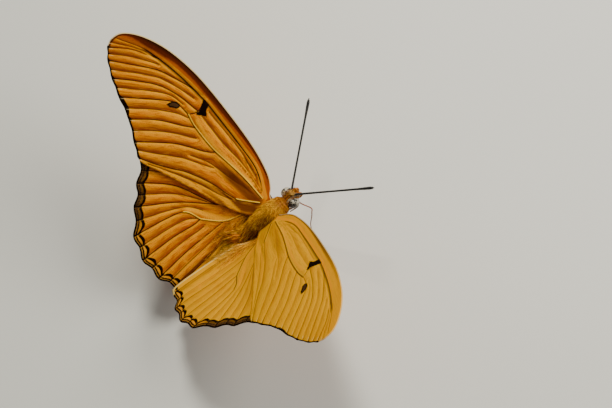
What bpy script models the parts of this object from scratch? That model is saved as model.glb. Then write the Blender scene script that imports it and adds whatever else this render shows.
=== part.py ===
"""A life-size still model of a julia butterfly, standing on the floor with its wings
raised in an open V. Every sub-part is one named object.

The body is modelled in its own frame: x to the butterfly's left, y to its rear, z up,
with the origin midway between the roots of the forewings. The legs are modelled between
that frame and the floor. Places are listed in millimetres and turned into metres where
they are used.
"""

import math
from functools import partial

import bmesh
import bpy
from mathutils import Matrix, Vector
from mathutils.geometry import delaunay_2d_cdt, intersect_point_line

MM = 0.001
SIDES = {"left": 1, "right": -1}

# Stance
HINGE_HEIGHT = 10.5  # of the wing roots above the floor
BODY_PITCH = math.radians(7.0)  # head up
WING_RISE = {"left": math.radians(40.0), "right": math.radians(39.0)}  # above the body's level
WING_TURN = {"left": math.radians(1.25), "right": 0.0}  # to the rear, in the wing's own plane
WING_SLIDE = {"left": (0.15, 0.1), "right": (-0.3, 0.0)}  # forward and outward in that plane
MEETING_GAP = 0.3  # between sub-parts that touch

# Wings, as flat sheets
MEMBRANE = 0.5
VEIN_HEIGHT = 0.2
VEIN_UNDERSIDE = 0.5  # share of the ridge that shows below
VEIN_HALF_WIDTH = 0.45
FOREWING_LIFT = 0.1  # the forewing lies over the hindwing
HINDWING_LIFT = -0.95
FOREWING_CAMBER = 0.25
OUTLINE_STEP = 0.9
VEIN_STEP = 1.6
INNER_GRID = 3.4
WING_ROOT = 2.3  # sideways from the middle of the body to the wing planes

# Forewing outline and veins: forward and outward from the wing's root
FOREWING_COSTA = [
    (1.5, 0.0), (2.8, 0.9), (4.6, 3.8), (6.4, 9.6), (7.8, 18.0), (8.7, 27.0),
    (8.3, 34.2), (6.8, 39.4), (4.6, 42.6), (2.4, 43.3), (0.5, 42.7),
]
FOREWING_MARGIN = [
    (0.5, 42.7), (-1.3, 40.8), (-3.2, 37.8), (-4.9, 34.2), (-6.7, 29.8), (-9.2, 25.8), (-10.9, 23.0),
]
FOREWING_INNER = [(-10.9, 23.0), (-10.95, 21.2), (-9.6, 17.1), (-7.5, 9.9), (-6.1, 4.2), (-4.2, 0.25)]
FOREWING_SCALLOP = 0.12
FOREWING_VEINS = {
    "radius": [(0.9, 1.0), (3.5, 5.7), (5.3, 12.3), (6.6, 20.1), (6.7, 27.8), (6.1, 34.4), (3.6, 42.6)],
    "radial_branch": [(6.2, 33.4), (3.8, 38.6), (0.5, 42.7)],
    "cubitus": [(0.3, 1.1), (0.8, 7.0), (0.6, 14.2), (1.2, 19.7), (2.0, 22.6)],
    "cell_end": [(6.6, 22.6), (3.8, 21.8), (2.0, 22.6)],
    "media_1": [(6.5, 23.4), (5.9, 26.7), (4.6, 31.4), (3.2, 34.3), (-1.3, 40.8)],
    "media_2": [(3.8, 21.8), (3.1, 27.5), (1.5, 31.6), (-3.2, 37.8)],
    "media_3": [(2.0, 22.6), (2.0, 25.4), (0.8, 27.7), (-4.9, 34.2)],
    "cubitus_1": [(1.2, 19.7), (-0.2, 21.6), (-2.8, 25.7), (-6.7, 29.8)],
    "cubitus_2": [(0.6, 13.4), (-0.9, 15.1), (-3.9, 20.2), (-9.2, 25.8)],
    "anal": [(0.1, 0.9), (-2.4, 3.6), (-3.4, 6.8), (-4.3, 10.4), (-7.5, 18.0), (-10.9, 23.0)],
}

# Hindwing outline and veins
HINDWING_COSTA = [(-3.2, -0.2), (-1.6, 3.0), (-1.9, 8.6), (-3.6, 14.6), (-6.6, 19.6), (-10.7, 22.6)]
HINDWING_MARGIN = [
    (-10.7, 22.6), (-14.9, 19.3), (-18.6, 16.2), (-22.9, 11.9), (-25.1, 7.2), (-25.6, 2.3), (-24.7, -1.7),
]
HINDWING_INNER = [
    (-24.7, -1.7), (-23.6, -2.75), (-17.0, -2.7), (-12.0, -2.4), (-8.8, -1.8), (-6.8, -1.25),
]
HINDWING_SCALLOP = 0.55
HINDWING_VEINS = {
    "radius": [(-4.0, 1.3), (-3.2, 5.6), (-4.3, 11.6), (-6.6, 16.8), (-10.7, 22.6)],
    "media": [(-4.4, 1.3), (-5.6, 4.2), (-7.1, 5.5)],
    "media_1": [(-7.1, 5.5), (-8.1, 8.6), (-9.5, 12.7), (-11.6, 15.9), (-14.9, 19.3)],
    "media_2": [(-7.1, 5.5), (-11.0, 10.0), (-14.0, 12.6), (-18.6, 16.2)],
    "media_3": [(-11.3, 5.4), (-12.4, 8.6), (-16.3, 10.2), (-22.9, 11.9)],
    "cubitus": [(-4.9, 1.1), (-8.3, 2.0), (-11.3, 5.4)],
    "cubitus_1": [(-11.3, 5.4), (-13.2, 5.5), (-17.5, 6.4), (-25.1, 7.2)],
    "cubitus_2": [(-8.3, 2.0), (-13.8, 2.3), (-18.7, 2.5), (-25.6, 2.3)],
    "anal": [(-6.4, 0.8), (-9.0, -0.5), (-12.7, -1.3), (-17.4, -1.5), (-24.7, -1.7)],
}

# The hindwings curl up towards their outer margin
CURL_START = -9.0
CURL_END = -25.0
CURL = {"left": 0.6, "right": 1.5}

# Trough between the hindwings: each sheet bends to another rise near its inner margin
TROUGH_START = 1.2
TROUGH_END = -0.8
TROUGH_RISE = {"left": math.radians(50.0), "right": math.radians(14.0)}
TROUGH_FRONT = (-6.0, -10.0)  # forward, between which the bend comes in behind the thorax

# Body sections: forward, half width, top, bottom
THORAX_SECTIONS = [
    (3.0, 1.25, -0.6, -3.0),
    (2.3, 1.85, 0.45, -3.7),
    (0.6, 2.25, 1.25, -4.35),
    (-1.8, 2.3, 1.4, -4.6),
    (-4.3, 2.05, 1.0, -4.4),
    (-5.9, 1.6, -0.1, -4.0),
    (-6.6, 1.1, -1.0, -3.5),
]
ABDOMEN_SECTIONS = [
    (-6.9, 1.05, -1.25, -3.5),
    (-8.8, 1.35, -2.25, -4.7),
    (-11.0, 1.4, -2.9, -5.35),
    (-14.5, 1.3, -3.5, -5.9),
    (-18.0, 1.05, -4.05, -6.0),
    (-20.6, 0.7, -4.6, -6.0),
    (-21.9, 0.35, -5.0, -5.8),
]
SECTION_STEP = 0.95
BODY_SIDES = 20

# Head and eyes
HEAD_CENTRE = (4.7, -1.7)  # forward, up
HEAD_HALF_SIZE = (1.4, 1.5, 1.35)  # forward, sideways, up
HEAD_FLAT = 0.8  # sideways, where an eye lies against it
EYE_HALF_SIZE = (1.12, 1.15, 1.25)  # forward, bulge, up
EYE_CENTRE = (4.5, -1.75)

# Feelers and mouth parts: forward, sideways, up
ANTENNA_BASE = (5.85, 0.5, -0.48)
ANTENNA_TIP = (19.4, 10.9, 2.8)
ANTENNA_RADIUS = 0.25
CLUB_RADIUS = 0.38
CLUB_SHARE = 0.17  # of the antenna's length
PALP_PATH = [(5.8, 0.55, -3.2), (6.4, 0.6, -2.85), (6.7, 0.6, -2.1), (6.65, 0.56, -1.2)]
PALP_RADII = [0.3, 0.4, 0.34, 0.16]
PROBOSCIS_PATH = [
    (5.2, 0.0, -3.55),
    (4.9, -1.3, -3.85),
    (5.95, -3.4, -4.2),
    (5.4, -3.95, -4.9),
    (4.7, -4.1, -6.0),
    (3.2, -4.35, -8.0),
    (2.4, -4.6, -9.6),
]
PROBOSCIS_RADIUS = 0.25

# Legs: root in the body frame, the other joints as forward, sideways and height in the world
LEG_RADII = [0.5, 0.42, 0.3, 0.25, 0.25, 0.25]
TARSUS_HEIGHT = 0.25  # of its axis, so that its lower flat rests on the floor
HEEL_BEND = 0.15  # share of the tarsus, behind which it lies level
WALKING_LEGS = {
    "midleg": [(0.2, 1.25, -4.95), (1.4, 5.8, 6.6), (0.6, 9.4, 1.7), (0.4, 10.2), (0.2, 12.6)],
    "hindleg": [(-3.3, 1.25, -5.0), (-8.2, 5.4, 6.4), (-12.6, 8.0, 1.7), (-13.6, 8.5), (-16.6, 9.4)],
}
FORELEG_PATH = [(2.5, 0.8, -4.1), (4.1, 0.95, -4.75), (3.4, 0.9, -5.5), (1.9, 0.75, -5.35)]
FORELEG_RADII = [0.3, 0.3, 0.27, 0.2]
TUBE_SIDES = 8


def clear_scene():
    for obj in list(bpy.data.objects):
        bpy.data.objects.remove(obj, do_unlink=True)


def finish(name, rgb, roughness):
    material = bpy.data.materials.new(name)
    material.use_nodes = True
    shader = material.node_tree.nodes["Principled BSDF"]
    shader.inputs["Base Color"].default_value = (*rgb, 1.0)
    shader.inputs["Roughness"].default_value = roughness
    return material


def body_place(forward, left, up):
    """The axes of the body frame from the butterfly's own directions."""
    return Vector((left, -forward, up))


def solid(name, points, faces, material, parent):
    """One closed object from points in millimetres, with its faces turned outwards."""
    mesh = bpy.data.meshes.new(name)
    bm = bmesh.new()
    made = [bm.verts.new(point * MM) for point in points]
    for face in faces:
        bm.faces.new([made[i] for i in face])
    bmesh.ops.recalc_face_normals(bm, faces=bm.faces)
    bm.to_mesh(mesh)
    bm.free()
    return placed(name, mesh, material, parent)


def placed(name, mesh, material, parent):
    mesh.shade_smooth()
    mesh.set_sharp_from_angle(angle=math.radians(50))
    mesh.materials.append(material)
    obj = bpy.data.objects.new(name, mesh)
    bpy.context.scene.collection.objects.link(obj)
    obj.parent = parent
    return obj


def ring_faces(rings, sides):
    """Quads between neighbouring rings, and a cap on each end."""
    faces = [tuple(range(sides))[::-1], tuple((rings - 1) * sides + side for side in range(sides))]
    for ring in range(rings - 1):
        low, high = ring * sides, (ring + 1) * sides
        for side in range(sides):
            after = (side + 1) % sides
            faces.append((low + side, low + after, high + after, high + side))
    return faces


def smooth_line(points, step):
    """A Catmull-Rom curve through the points, with a place at about every step."""
    points = [Vector(point) for point in points]
    padded = [2 * points[0] - points[1], *points, 2 * points[-1] - points[-2]]
    line = []
    for i in range(1, len(padded) - 2):
        before, start, end, after = padded[i - 1 : i + 3]
        spans = max(1, round((end - start).length / step))
        for k in range(spans):
            t = k / spans
            line.append(
                start
                + (end - before) * (t / 2)
                + (2 * before - 5 * start + 4 * end - after) * (t**2 / 2)
                + (3 * start - before - 3 * end + after) * (t**3 / 2)
            )
    line.append(points[-1])
    return line


def scalloped(ends, depth, step):
    """The outer margin through the vein ends, drawn in between each two of them."""
    curve = smooth_line(ends, 0.05)
    marks = [min(range(len(curve)), key=lambda i: (curve[i] - Vector(end)).length) for end in ends]
    line = []
    for first, last in zip(marks, marks[1:]):
        chord = curve[last] - curve[first]
        inward = Vector((-chord.y, chord.x)).normalized()
        spans = max(4, round(chord.length / step))
        for k in range(spans):
            here = curve[first + round(k / spans * (last - first))]
            line.append(here + inward * depth * math.sin(math.pi * k / spans) ** 2)
    line.append(curve[-1])
    return line


def wing_outline(costa, margin, inner, depth):
    """A closed loop of flat points, from the front of the root round to its rear."""
    front = smooth_line(costa, OUTLINE_STEP)
    outer = scalloped(margin, depth, OUTLINE_STEP)
    rear = smooth_line(inner, OUTLINE_STEP)
    return front + outer[1:] + rear[1:]


def distance_to_line(point, line):
    """From a flat point to the nearest place on a line of flat points."""
    nearest = math.inf
    for start, end in zip(line, line[1:]):
        foot, share = intersect_point_line(point, start, end)
        foot = start if share < 0 else end if share > 1 else foot.to_2d()
        nearest = min(nearest, (point - foot).length)
    return nearest


def flat_wing(outline, veins):
    """The flat wing in triangles, with an edge along every vein."""
    border = outline + outline[:1]
    points = list(outline)
    edges = [(i, (i + 1) % len(outline)) for i in range(len(outline))]
    flanks = []
    for line in veins:
        inside = [p for p in line if distance_to_line(p, border) > 0.5]
        edges += [(len(points) + i, len(points) + i + 1) for i in range(len(inside) - 1)]
        points += inside
        for before, here, after in zip(inside, inside[1:], inside[2:]):
            along = (after - before).normalized() * VEIN_HALF_WIDTH
            flanks += [here + Vector((-along.y, along.x)), here + Vector((along.y, -along.x))]
    for point in flanks:
        if clear_of(point, points, 0.5) and distance_to_line(point, border) > 0.5:
            if min(distance_to_line(point, line) for line in veins) > VEIN_HALF_WIDTH * 0.8:
                points.append(point)
    xs, ys = [p.x for p in outline], [p.y for p in outline]
    for i in range(int((max(xs) - min(xs)) / INNER_GRID) + 1):
        for k in range(int((max(ys) - min(ys)) / INNER_GRID) + 1):
            point = Vector((min(xs) + (i + 0.5 * (k % 2)) * INNER_GRID, min(ys) + k * INNER_GRID))
            if clear_of(point, points, 1.3) and within(point, outline):
                points.append(point)
    flat, _, triangles, *_ = delaunay_2d_cdt(points, edges, [], 1, 1e-4)
    return flat, triangles


def clear_of(point, others, gap):
    return all((point - other).length > gap for other in others)


def within(point, outline):
    """Whether a flat point lies inside a closed loop."""
    inside = False
    for start, end in zip(outline, outline[1:] + outline[:1]):
        if (start.y > point.y) != (end.y > point.y):
            if point.x < start.x + (point.y - start.y) / (end.y - start.y) * (end.x - start.x):
                inside = not inside
    return inside


def eased(value, start, end):
    """A smooth step from 0 at the start to 1 at the end."""
    share = min(max((value - start) / (end - start), 0.0), 1.0)
    return share**2 * (3 - 2 * share)


def level_sheet(side, _, outward):
    """Sideways place, height and rise of a wing plane, at a flat distance from its root."""
    rise = WING_RISE[side]
    return WING_ROOT + outward * math.cos(rise), outward * math.sin(rise), rise


def trough_sheet(side, forward, outward):
    """The same for a hindwing, which bends along an arc towards its inner margin."""
    turn = (TROUGH_RISE[side] - WING_RISE[side]) * eased(forward, *TROUGH_FRONT)
    if outward >= TROUGH_START or abs(turn) < 1e-3:
        return level_sheet(side, forward, outward)
    across, height, rise = level_sheet(side, forward, TROUGH_START)
    bend = turn / (TROUGH_START - TROUGH_END)
    arc = min(TROUGH_START - outward, TROUGH_START - TROUGH_END)
    inner_rise = rise + bend * arc
    straight = TROUGH_START - outward - arc
    across -= (math.sin(inner_rise) - math.sin(rise)) / bend + straight * math.cos(inner_rise)
    height -= (math.cos(rise) - math.cos(inner_rise)) / bend + straight * math.sin(inner_rise)
    return across, height, inner_rise


def hindwing_curl(side, forward):
    """How far a hindwing has curled up off its plane, this far forward."""
    return CURL[side] * eased(forward, CURL_START, CURL_END)


def wing(name, side, outline, veins, lift, camber, curl, sheet, material, parent):
    """A membrane with its veins raised in both faces, cut into the same triangles on each."""
    veins = [smooth_line(vein, VEIN_STEP) for vein in veins.values()]
    flat, triangles = flat_wing(outline, veins)
    turn = Matrix.Rotation(WING_TURN[side], 2)
    slide = Vector(WING_SLIDE[side])
    chord_middle = (max(p.x for p in outline) + min(p.x for p in outline)) / 2
    half_chord = (max(p.x for p in outline) - min(p.x for p in outline)) / 2

    def set_at(point, height):
        turned = turn @ point + slide
        across, up, rise = sheet(side, turned.x, turned.y)
        arch = camber * (1 - ((point.x - chord_middle) / half_chord) ** 2)
        off = lift + arch + curl(point.x) + height
        left = SIDES[side] * (across - off * math.sin(rise))
        return body_place(turned.x, left, up + off * math.cos(rise))

    upper, lower = [], []
    for point in flat:
        vein = min(distance_to_line(point, line) for line in veins)
        ridge = VEIN_HEIGHT * max(0.0, 1 - vein / VEIN_HALF_WIDTH)
        upper.append(set_at(point, MEMBRANE / 2 + ridge))
        lower.append(set_at(point, -MEMBRANE / 2 - ridge * VEIN_UNDERSIDE))
    under = len(flat)
    faces = [tuple(face) for face in triangles]
    faces += [tuple(i + under for i in reversed(face)) for face in triangles]
    borders = {}
    for face in triangles:
        for start, end in zip(face, face[1:] + face[:1]):
            borders[frozenset((start, end))] = None if frozenset((start, end)) in borders else (start, end)
    for start, end in filter(None, borders.values()):
        faces += [(end, start, start + under), (end, start + under, end + under)]
    return solid(name, upper + lower, faces, material, parent)


def tube(name, path, radii, up, material, parent):
    """A round limb through the path, with flat ends and the same number of sides all along."""
    path = [Vector(point) for point in path]
    points = []
    for i, (here, radius) in enumerate(zip(path, radii)):
        before, after = path[max(i - 1, 0)], path[min(i + 1, len(path) - 1)]
        into = (here - before).normalized() if i else (after - here).normalized()
        out = (after - here).normalized() if after is not here else into
        along = (into + out).normalized()
        side = along.cross(up).normalized()
        top = side.cross(along)
        for k in range(TUBE_SIDES):
            angle = 2 * math.pi * (k + 0.5) / TUBE_SIDES
            reach = radius / math.cos(math.pi / TUBE_SIDES)
            points.append(here + (side * math.cos(angle) + top * math.sin(angle)) * reach)
    return solid(name, points, ring_faces(len(path), TUBE_SIDES), material, parent)


def sectioned_body(name, sections, material, parent):
    """A rounded solid through its sections, each half width across and from top to bottom."""
    points = []
    line = smooth_line(sections, SECTION_STEP)
    for forward, half_width, top, bottom in line:
        middle, half_height = (top + bottom) / 2, (top - bottom) / 2
        for k in range(BODY_SIDES):
            angle = 2 * math.pi * k / BODY_SIDES
            across, up = half_width * math.cos(angle), middle + half_height * math.sin(angle)
            points.append(body_place(forward, across, up))
    return solid(name, points, ring_faces(len(line), BODY_SIDES), material, parent)


def make_head(material, parent):
    """An oval with a flat on each side, where an eye lies against it."""
    mesh = bpy.data.meshes.new("head")
    bm = bmesh.new()
    bmesh.ops.create_uvsphere(bm, u_segments=20, v_segments=14, radius=MM)
    forward, across, up = HEAD_HALF_SIZE
    centre = body_place(HEAD_CENTRE[0], 0, HEAD_CENTRE[1]) * MM
    bmesh.ops.transform(bm, verts=bm.verts, matrix=Matrix.Diagonal((across, forward, up, 1)))
    bmesh.ops.translate(bm, verts=bm.verts, vec=centre)
    for sign in SIDES.values():
        geometry = bm.verts[:] + bm.edges[:] + bm.faces[:]
        cut_at, outwards = (sign * HEAD_FLAT * MM, 0, 0), (sign, 0, 0)
        bmesh.ops.bisect_plane(bm, geom=geometry, plane_co=cut_at, plane_no=outwards, clear_outer=True)
        rim = [edge for edge in bm.edges if edge.is_boundary]
        bmesh.ops.holes_fill(bm, edges=rim)
    bmesh.ops.recalc_face_normals(bm, faces=bm.faces)
    bm.to_mesh(mesh)
    bm.free()
    return placed("head", mesh, material, parent)


def make_eye(side, material, parent):
    """Half an oval, its flat face against the flat of the head."""
    forward, bulge, up = EYE_HALF_SIZE
    rings, sides = 6, 20
    points = []
    for ring in range(rings):
        tilt = math.radians(85) * ring / (rings - 1)
        left = SIDES[side] * (HEAD_FLAT + MEETING_GAP + bulge * math.sin(tilt))
        for k in range(sides):
            angle = 2 * math.pi * k / sides
            ahead = EYE_CENTRE[0] + forward * math.cos(tilt) * math.cos(angle)
            above = EYE_CENTRE[1] + up * math.cos(tilt) * math.sin(angle)
            points.append(body_place(ahead, left, above))
    return solid(f"eye_{side}", points, ring_faces(rings, sides), material, parent)


def make_antenna(side, material, parent):
    """A thin shaft that ends in a slim club."""
    start, tip = (body_place(f, SIDES[side] * s, u) for f, s, u in (ANTENNA_BASE, ANTENNA_TIP))
    stations = [0, 0.2, 0.4, 0.6, 0.76, 1 - CLUB_SHARE, 0.89, 0.95, 0.985, 1]
    path, radii = [], []
    for share in stations:
        path.append(start.lerp(tip, share))
        swell = min(max(0.0, (share - 1 + CLUB_SHARE) / (CLUB_SHARE * 0.6)), 1.0)
        radii.append(ANTENNA_RADIUS + (CLUB_RADIUS - ANTENNA_RADIUS) * swell)
    radii[-1] = CLUB_RADIUS / 2
    return tube(f"antenna_{side}", path, radii, Vector((0, 0, 1)), material, parent)


def make_mouth_parts(materials, parent):
    for side, sign in SIDES.items():
        path = [body_place(f, sign * s, u) for f, s, u in PALP_PATH]
        tube(f"palp_{side}", path, PALP_RADII, Vector((1, 0, 0)), materials["palp"], parent)
    path = smooth_line([body_place(*place) for place in PROBOSCIS_PATH], 0.9)
    radii = [PROBOSCIS_RADIUS] * (len(path) - 1) + [PROBOSCIS_RADIUS * 0.7]
    tube("proboscis", path, radii, Vector((0, 1, 0)), materials["proboscis"], parent)


def make_walking_leg(name, side, joints, stance, material):
    """From its root on the body, over a raised knee, to a foot that lies flat on the floor."""
    sign = SIDES[side]
    root, knee, ankle, heel, toe = joints
    root = stance @ (body_place(root[0], sign * root[1], root[2]) * MM) / MM
    ball = Vector(heel).lerp(toe, HEEL_BEND)
    places = [knee, ankle] + [(*place, TARSUS_HEIGHT) for place in (heel, ball, toe)]
    path = [root] + [body_place(f, sign * s, height) for f, s, height in places]
    return tube(f"{name}_{side}", path, LEG_RADII, Vector((0, 0, 1)), material, None)


def make_foreleg(side, material, parent):
    """A small brush leg, folded under the front of the body."""
    path = [body_place(f, SIDES[side] * s, u) for f, s, u in FORELEG_PATH]
    return tube(f"foreleg_{side}", path, FORELEG_RADII, Vector((1, 0, 0)), material, parent)


def make_wings(material, parent):
    forewing = wing_outline(FOREWING_COSTA, FOREWING_MARGIN, FOREWING_INNER, FOREWING_SCALLOP)
    hindwing = wing_outline(HINDWING_COSTA, HINDWING_MARGIN, HINDWING_INNER, HINDWING_SCALLOP)
    for side in SIDES:
        wing(
            f"forewing_{side}", side, forewing, FOREWING_VEINS, FOREWING_LIFT, FOREWING_CAMBER,
            lambda forward: 0.0, level_sheet, material, parent,
        )
        wing(
            f"hindwing_{side}", side, hindwing, HINDWING_VEINS, HINDWING_LIFT, 0.0,
            partial(hindwing_curl, side), trough_sheet, material, parent,
        )


def centre_on_origin():
    """Moves everything sideways so that the origin is under the middle of the model's box."""
    bpy.context.view_layer.update()
    corners = [
        obj.matrix_world @ vert.co
        for obj in bpy.context.scene.objects
        if obj.type == "MESH"
        for vert in obj.data.vertices
    ]
    lowest = Vector(min(corner[axis] for corner in corners) for axis in range(3))
    highest = Vector(max(corner[axis] for corner in corners) for axis in range(3))
    shift = -(lowest + highest) / 2
    for obj in bpy.context.scene.objects:
        if obj.parent is None:
            obj.location += Vector((shift.x, shift.y, 0))


def main():
    clear_scene()
    chitin = finish("dark_brown_chitin", (0.05, 0.025, 0.015), 0.45)
    black = finish("black_antenna", (0.015, 0.012, 0.012), 0.5)
    eye = finish("mottled_eye", (0.12, 0.11, 0.1), 0.15)
    fur = finish("golden_fur", (0.55, 0.25, 0.05), 0.9)
    scales = finish("orange_scales", (0.75, 0.24, 0.02), 0.6)
    mouth = {"palp": fur, "proboscis": finish("red_brown_proboscis", (0.25, 0.08, 0.04), 0.4)}

    body = bpy.data.objects.new("julia_butterfly", None)
    bpy.context.scene.collection.objects.link(body)
    body.location = (0, 0, HINGE_HEIGHT * MM)
    body.rotation_euler = (-BODY_PITCH, 0, 0)
    stance = Matrix.Translation(body.location) @ body.rotation_euler.to_matrix().to_4x4()

    make_wings(scales, body)
    sectioned_body("thorax", THORAX_SECTIONS, fur, body)
    sectioned_body("abdomen", ABDOMEN_SECTIONS, fur, body)
    make_head(fur, body)
    make_mouth_parts(mouth, body)
    for side in SIDES:
        make_eye(side, eye, body)
        make_antenna(side, black, body)
        make_foreleg(side, chitin, body)
        for name, joints in WALKING_LEGS.items():
            make_walking_leg(name, side, joints, stance, chitin)
    centre_on_origin()


main()
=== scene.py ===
"""The looks of a life-size julia butterfly model: its scaled wings, furred body, eyes,
feelers, palps, proboscis and legs, on a pale studio floor.

Places are in millimetres in the body's own frame, or flat on a wing: forward, then
outward from the wing's root. They become metres in the model's frame as a piece is made.
"""

import math

import bpy
import numpy as np
from mathutils import Matrix, Vector
from mathutils.geometry import delaunay_2d_cdt


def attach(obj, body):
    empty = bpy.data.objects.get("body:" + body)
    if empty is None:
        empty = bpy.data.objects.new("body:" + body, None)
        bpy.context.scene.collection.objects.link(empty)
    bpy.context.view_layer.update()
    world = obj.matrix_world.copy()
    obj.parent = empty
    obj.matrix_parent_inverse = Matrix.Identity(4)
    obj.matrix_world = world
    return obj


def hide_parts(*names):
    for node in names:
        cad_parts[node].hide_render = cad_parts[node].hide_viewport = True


MM = 0.001
SIDES = {"left": 1, "right": -1}

# Stance
HINGE_HEIGHT = 10.5  # of the wing roots above the floor
BODY_PITCH = math.radians(7.0)
BODY_SHIFT = (0.186, -3.464)  # of the wing roots from the middle of the model's box
WING_RISE = {"left": math.radians(40.0), "right": math.radians(39.0)}
WING_TURN = {"left": math.radians(1.25), "right": 0.0}
WING_SLIDE = {"left": (0.15, 0.1), "right": (-0.3, 0.0)}
WING_ROOT = 2.3
CURL_START, CURL_END = -9.0, -25.0
CURL = {"left": 0.6, "right": 1.5}
TROUGH_START, TROUGH_END = 1.2, -0.8
TROUGH_RISE = {"left": math.radians(50.0), "right": math.radians(14.0)}
TROUGH_FRONT = (-6.0, -10.0)

# Wing sheets
MEMBRANE = 0.1
OUTLINE_STEP = 0.24
LINE_STEP = 0.26
LATTICE = 0.34
VEIN_FLANK = 0.13
FOLD_FLANK = 0.14
VEIN_GROOVE = 0.07
STEM_RIDGE = 0.13
VEIN_UNDERSIDE = 0.08
VEIN_SPREAD = 0.16
UNDERSIDE_SPREAD = 0.11
CREASE_DEPTH = 0.04
CREASE_SPREAD = 0.14
PLEAT_SLOPE = 0.42
PLEAT_LIMIT = 0.24
PLEAT_WIDTH = 1.6
PLEAT_SHARE = (0.75, 0.25)  # near the root and farther out
QUILT = 0.1  # height of the bulge between two lines, as a share of its width
QUILT_WIDTH = 2.4
SWAY = 0.05
UNDERSIDE_DROP = 0.05  # by which the lower face lies farther from the wing's plane
FAR_LINE = 9.0  # distance where there is no line on that side
SURFACE = {"left": 1.0, "right": 0.27}  # share of the relief that each side's wings show
FOREWING = {
    "costa": [
        (1.4, -0.7), (1.9, 0.1), (3.1, 1.2), (4.65, 3.8), (6.4, 9.6), (7.8, 18.0), (8.7, 27.0),
        (8.3, 34.2), (6.8, 39.4), (4.6, 42.6), (2.4, 43.3), (0.5, 42.7),
    ],
    "margin": [
        (0.5, 42.7), (-1.3, 40.8), (-3.2, 37.8), (-4.9, 34.2), (-6.7, 29.8), (-9.2, 25.8), (-10.9, 23.0),
    ],
    "inner": [
        (-10.9, 23.0), (-10.95, 21.2), (-9.6, 17.1), (-7.5, 9.9), (-6.1, 4.2), (-4.2, 0.25), (-3.4, -0.7),
    ],
    "scallop": 0.12,
    "lift": -0.1,
    "camber": 0.25,
    "stems": {"cubitus": 90, "anal": 19},
    # gold: bands of painted highlight; umber: bands of painted shade, which umber_ends fades out with the
    # distance from the root; each band is a half width and a line
    "gold": [
        (0.5, [(-4.75, 1.6), (-4.85, 5.0), (-5.1, 9.0), (-5.7, 12.0), (-6.7, 14.6)]),
        (0.45, [(0.95, 4.0), (1.1, 10.0), (1.3, 16.0), (2.3, 20.6)]),
        (0.35, [(2.2, 22.6), (1.8, 24.6)]),
    ],
    "umber": [
        (1.5, [(-0.95, 0.8), (-1.0, 4.0), (-1.05, 8.0), (-0.9, 11.2)]),
        (1.4, [(-2.5, 0.3), (-3.5, 1.6), (-4.1, 3.0)]),
        (0.35, [(-4.1, 3.5), (-4.35, 7.0), (-4.6, 9.0)]),
        (0.55, [(-5.9, 2.4), (-6.1, 7.0), (-6.9, 11.5)]),
        (0.2, [(0.75, 1.6), (1.6, 5.0), (2.0, 9.0), (2.2, 12.0)]),
        (0.18, [(1.3, 1.8), (2.7, 5.0), (3.5, 9.0)]),
        (0.16, [(2.0, 1.6), (3.9, 4.6), (4.9, 8.0)]),
        (0.14, [(2.6, 1.8), (4.6, 4.8), (5.8, 8.6)]),
    ],
    "umber_ends": (13.5, 7.0),
    "veins": {
        "radius": [
            (0.7, 0.4), (3.6, 5.7), (4.85, 12.3), (5.9, 20.0), (6.2, 23.0), (6.25, 28.0), (6.1, 31.5),
            (5.65, 35.0), (5.1, 37.8), (3.0, 42.6),
        ],
        "radial_branch": [(5.8, 34.0), (3.6, 38.8), (0.5, 42.7)],
        "cubitus": [(0.3, 0.6), (0.8, 7.0), (0.6, 14.2), (1.2, 19.7), (2.0, 22.6)],
        "cell_end": [(6.6, 22.6), (3.8, 21.8), (2.0, 22.6)],
        "media_1": [(6.5, 23.4), (5.9, 26.7), (4.6, 31.4), (3.2, 34.3), (-1.3, 40.8)],
        "media_2": [(3.8, 21.8), (3.1, 27.5), (1.5, 31.6), (-3.2, 37.8)],
        "media_3": [(2.0, 22.6), (2.0, 25.4), (0.8, 27.7), (-4.9, 34.2)],
        "cubitus_1": [(1.2, 19.7), (-0.2, 21.6), (-2.8, 25.7), (-6.7, 29.8)],
        "cubitus_2": [(0.6, 13.4), (-0.9, 15.1), (-3.9, 20.2), (-9.2, 25.8)],
        "anal": [
            (-0.7, 0.2), (-2.0, 2.0), (-3.3, 3.9), (-3.9, 6.2), (-4.4, 9.3), (-6.2, 14.3), (-7.65, 16.6),
            (-9.4, 19.6), (-10.9, 23.0),
        ],
    },
    "folds_between": [
        ("radius", "radial_branch"), ("radial_branch", "media_1"), ("media_1", "media_2"),
        ("media_2", "media_3"), ("media_3", "cubitus_1"), ("cubitus_1", "cubitus_2"), ("cubitus_2", "anal"),
    ],
    "folds": [
        [(1.3, 2.6), (2.4, 8.0), (2.7, 14.0), (3.6, 20.6)],
        [(2.3, 4.6), (3.8, 9.6), (4.6, 15.2), (5.1, 20.2)],
        [(-0.5, 2.6), (-1.2, 7.4), (-1.9, 12.6), (-3.4, 16.4)],
        [(-2.6, 2.2), (-4.6, 5.6), (-6.3, 11.0), (-8.4, 16.4), (-10.4, 20.6)],
    ],
}
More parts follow.
